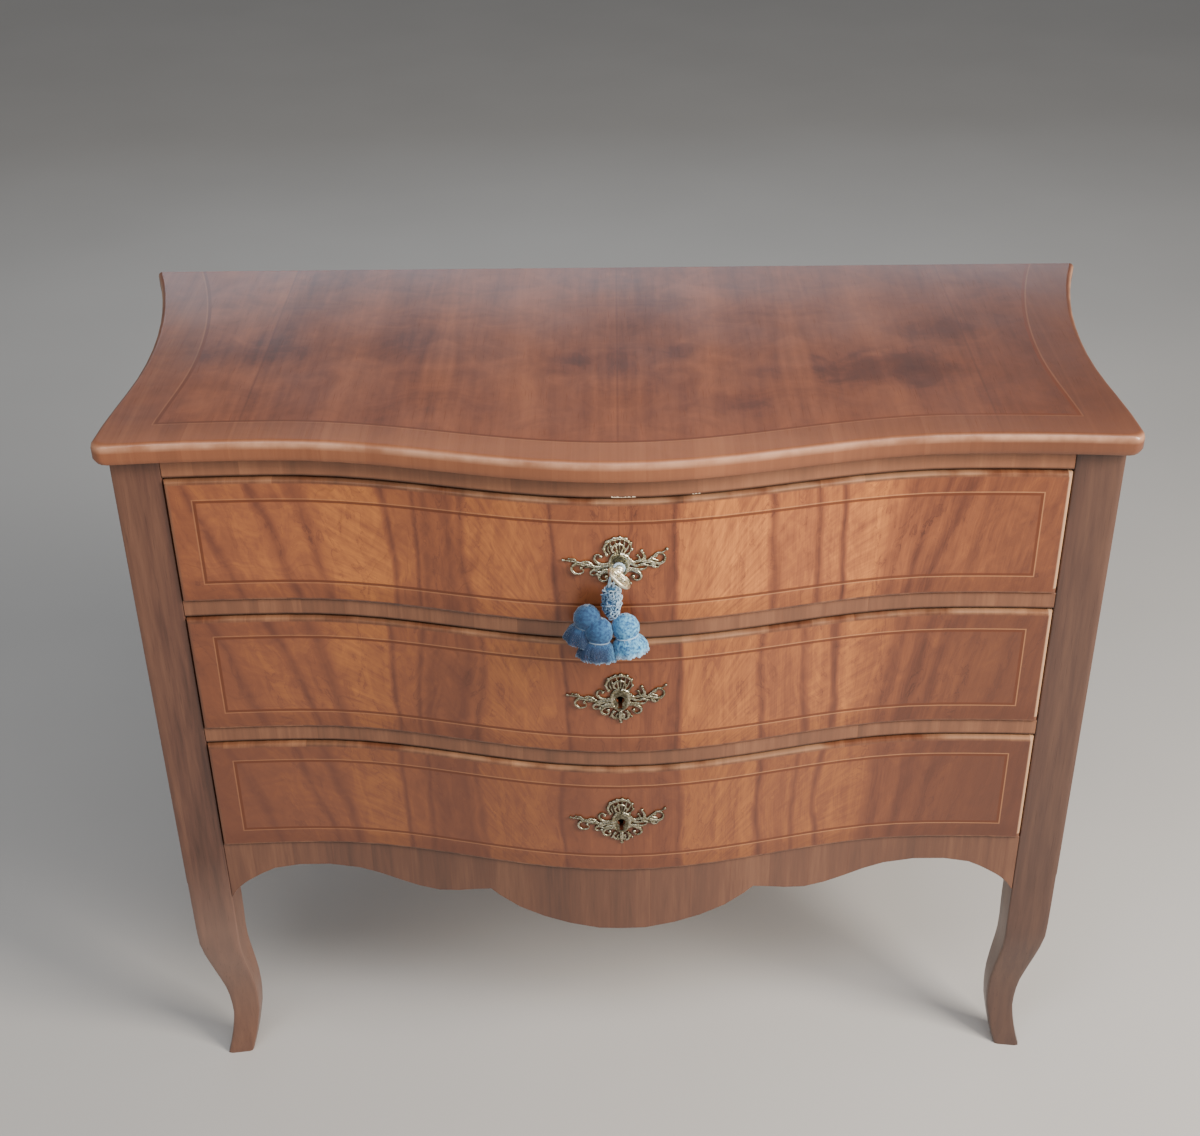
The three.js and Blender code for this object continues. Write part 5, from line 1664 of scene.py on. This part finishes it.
# %% Mark the head
marks = []
for vertex in crown.data.vertices:
    off_axis = math.hypot(vertex.co.x - HEAD.x, vertex.co.y - HEAD.y) / MM
    outer = off_axis - radius_at(HEAD_PROFILE, (vertex.co.z - HEAD.z) / MM)
    patch = math.sin(2300 * vertex.co.x) * math.sin(1900 * vertex.co.z)
    mark = 0.80 + 0.034 * outer + 6 * (vertex.co.x - HEAD.x) + 0.05 * patch
    marks.append(max(0.8, min(1.0, mark)))
mark_along(crown, marks)
crown.data.materials.clear()
crown.data.materials.append(YARN)
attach(crown, "tassel")
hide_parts("tassel_head")
print("palest:", round(max(marks), 2))

# %% [markdown]
# ## The strands of a tuft
# Each tuft is a skein of strands gathered at its top, swelling to a ball, bound with a thread and
# flaring out below it. Every strand follows the same profile at its own angle, with a little
# wander, so the ball shows fine upright lines and the skirt frays. A second layer just inside
# closes the gaps.

# %% Lay the strands of a tuft
TUFT_PROFILE = (
    (1.5, 0), (7.5, 1.0), (12.2, 5.0), (14.6, 12.0), (13.8, 18.5), (11.0, 23.0), (13.6, 26), (17.4, 31),
    (19.6, 36.5), (20.6, 41.5),
)
TUFT_LAYERS = ((96, 0.0), (56, 1.3))
TUFT_STRAND = 0.62
TIED_STEP = 5


def skein(name, top, turn, share):
    """The strands of one tuft below its top, turned as told and smaller or larger by a share."""
    lines = []
    for layer, (count, inset) in enumerate(TUFT_LAYERS):
        for index in range(count):
            angle = 2 * math.pi * index / count + layer
            own_cut = chance.uniform(-1, 1)
            line = []
            for step, (radius, down) in enumerate(TUFT_PROFILE):
                free = max(0, step - TIED_STEP)
                wander = 0.16 * (step / len(TUFT_PROFILE)) ** 3
                own = angle + wander * math.sin(12.7 * index + 1.3 * step + layer)
                fray = free * 0.28 * math.sin(37.1 * index + 2.1 * layer)
                reach = max(0.4, radius - inset * min(1, step) + fray)
                fall = down - inset + 0.25 * free * own_cut
                place = Vector((reach * math.cos(own), reach * math.sin(own), -fall))
                line.append(top + turn @ place * share * MM)
            lines.append(line)
    return strands(name, lines, TUFT_STRAND * share * MM)


print("strands of a tuft:", sum(count for count, inset in TUFT_LAYERS))

# %% [markdown]
# ## Binding and stuffing
# A paler thread binds the skein where it is narrowest. Inside the ball lies a dark core that keeps
# the light from passing through. Each point is then marked by how far it hangs below the top, so
# that the finish can make the cut ends pale, and the thread is marked as pale as the ends.

# %% Bind a tuft and mark its ends
TUFT_LONG = 41.5
BINDING_DOWN, BINDING_WIDE = 23.0, 11.8
BINDING_THREAD = 0.8
CORE_DOWN, CORE_WIDE = 13.5, 11.6


def bind(top, turn, share):
    """The thread round a tuft and the core inside it."""
    angles = [2 * math.pi * step / 28 for step in range(28)]
    around = [Vector((BINDING_WIDE * math.cos(a), BINDING_WIDE * math.sin(a), -BINDING_DOWN)) for a in angles]
    places = [top + turn @ place * share * MM for place in around]
    thread = draw(places, BINDING_THREAD * share * MM, closed=True)
    core_place = top + turn @ Vector((0, 0, -CORE_DOWN)) * share * MM
    bpy.ops.mesh.primitive_uv_sphere_add(
        segments=20, ring_count=12, radius=CORE_WIDE * share * MM, location=core_place
    )
    bpy.ops.object.shade_smooth()
    return thread, bpy.context.object


def mark_ends(item, top, down, share, pale):
    """Marks a tuft from 0 at its top to as pale as told at its cut ends and its binding."""
    marks = []
    for vertex in item.data.vertices:
        hang = (vertex.co - top).dot(down)
        off_axis = (vertex.co - top - down * hang).length
        at_binding = abs(hang - BINDING_DOWN * share * MM) < 1.2 * MM
        tied = at_binding and off_axis > (BINDING_WIDE * share + 0.1) * MM
        marks.append(pale if tied else min(pale, pale * hang / (TUFT_LONG * share * MM)))
    mark_along(item, marks)


print("tuft:", TUFT_LONG, "mm long, bound", BINDING_DOWN, "mm down")

# %% [markdown]
# ## The three tufts
# The tufts hang from the head, one leaning left, one to the front and one right. Only their tops,
# their leans, their sizes and how pale their ends are differ, so one function makes all three.

# %% Make the tufts
TUFTS = {
    "left": (Vector((-0.0310, -0.2435, 0.7345)), 12, 6, 0.94, 0.85),
    "middle": (Vector((-0.0205, -0.2500, 0.7235)), 5, 14, 1.0, 0.88),
    "right": (Vector((0.0040, -0.2460, 0.7250)), -10, 10, 0.97, 0.94),
}


def tuft(name, top, lean, tip, share, pale):
    """A bound skein below a point, leaned to the left and tipped forward by so many degrees."""
    turn = Matrix.Rotation(math.radians(lean), 3, "Y") @ Matrix.Rotation(math.radians(-tip), 3, "X")
    yarn = skein(f"tuft_{name}", top, turn, share)
    pick(*bind(top, turn, share), yarn)
    bpy.ops.object.join()
    bpy.ops.object.transform_apply(location=True, rotation=True, scale=True)
    mark_ends(yarn, top, turn @ Vector((0, 0, -1)), share, pale)
    yarn.data.materials.clear()
    yarn.data.materials.append(YARN)
    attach(yarn, "tassel")
    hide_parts(f"tassel_tuft_{name}")
    print("tuft:", name, len(yarn.data.polygons), "faces")


for name, settings in TUFTS.items():
    tuft(name, *settings)

# %% [markdown]
# ## Floor and light
# The chest stands on a plain pale floor. A wide soft light stands to the right in front of it and
# above, as a window would. A weaker one fills the left, a third hangs from the ceiling before the
# chest, and a fourth behind it is low enough to glance off the back of the top.

# %% Floor and lights
def lamp(name, place, aim, size, power, colour):
    """A wide soft light at a place, turned towards another."""
    data = bpy.data.lights.new(name, "AREA")
    data.shape = "RECTANGLE"
    data.size, data.size_y = size
    data.energy = power
    data.color = colour
    item = bpy.data.objects.new(name, data)
    bpy.context.scene.collection.objects.link(item)
    item.location = place
    item.rotation_euler = (Vector(aim) - Vector(place)).to_track_quat("-Z", "Y").to_euler()


bpy.ops.object.select_all(action="DESELECT")
bpy.ops.mesh.primitive_plane_add(size=30, location=(0, 6, 0))
floor = bpy.context.object
floor.name = "floor"
pale_floor = Finish("pale_floor")
floor_colour = pale_floor.mix(pale_floor.noise(2), tone(188, 185, 180), tone(198, 195, 190))
floor.data.materials.append(pale_floor.paint(floor_colour, 0.75))

lamp("window_light", (1.9, -1.2, 1.9), (0.1, 0, 0.9), (1.0, 1.2), 112, (1.0, 0.93, 0.85))
lamp("fill_light", (-2.6, -2.8, 2.4), (0, 0, 0.6), (2.2, 2.2), 30, (0.95, 0.97, 1.0))
lamp("ceiling_light", (0.1, -1.6, 3.0), (0, -0.1, 0.8), (2.6, 0.8), 44, (0.97, 0.97, 1.0))
lamp("rear_light", (-0.2, 3.0, 1.85), (0, 0.1, 0.85), (3.2, 0.5), 14, (0.72, 0.85, 1.0))

world = bpy.data.worlds.new("room")
world.use_nodes = True
sky = world.node_tree.nodes["Background"]
sky.inputs["Color"].default_value = (0.82, 0.84, 0.88, 1)
sky.inputs["Strength"].default_value = 0.25
bpy.context.scene.world = world
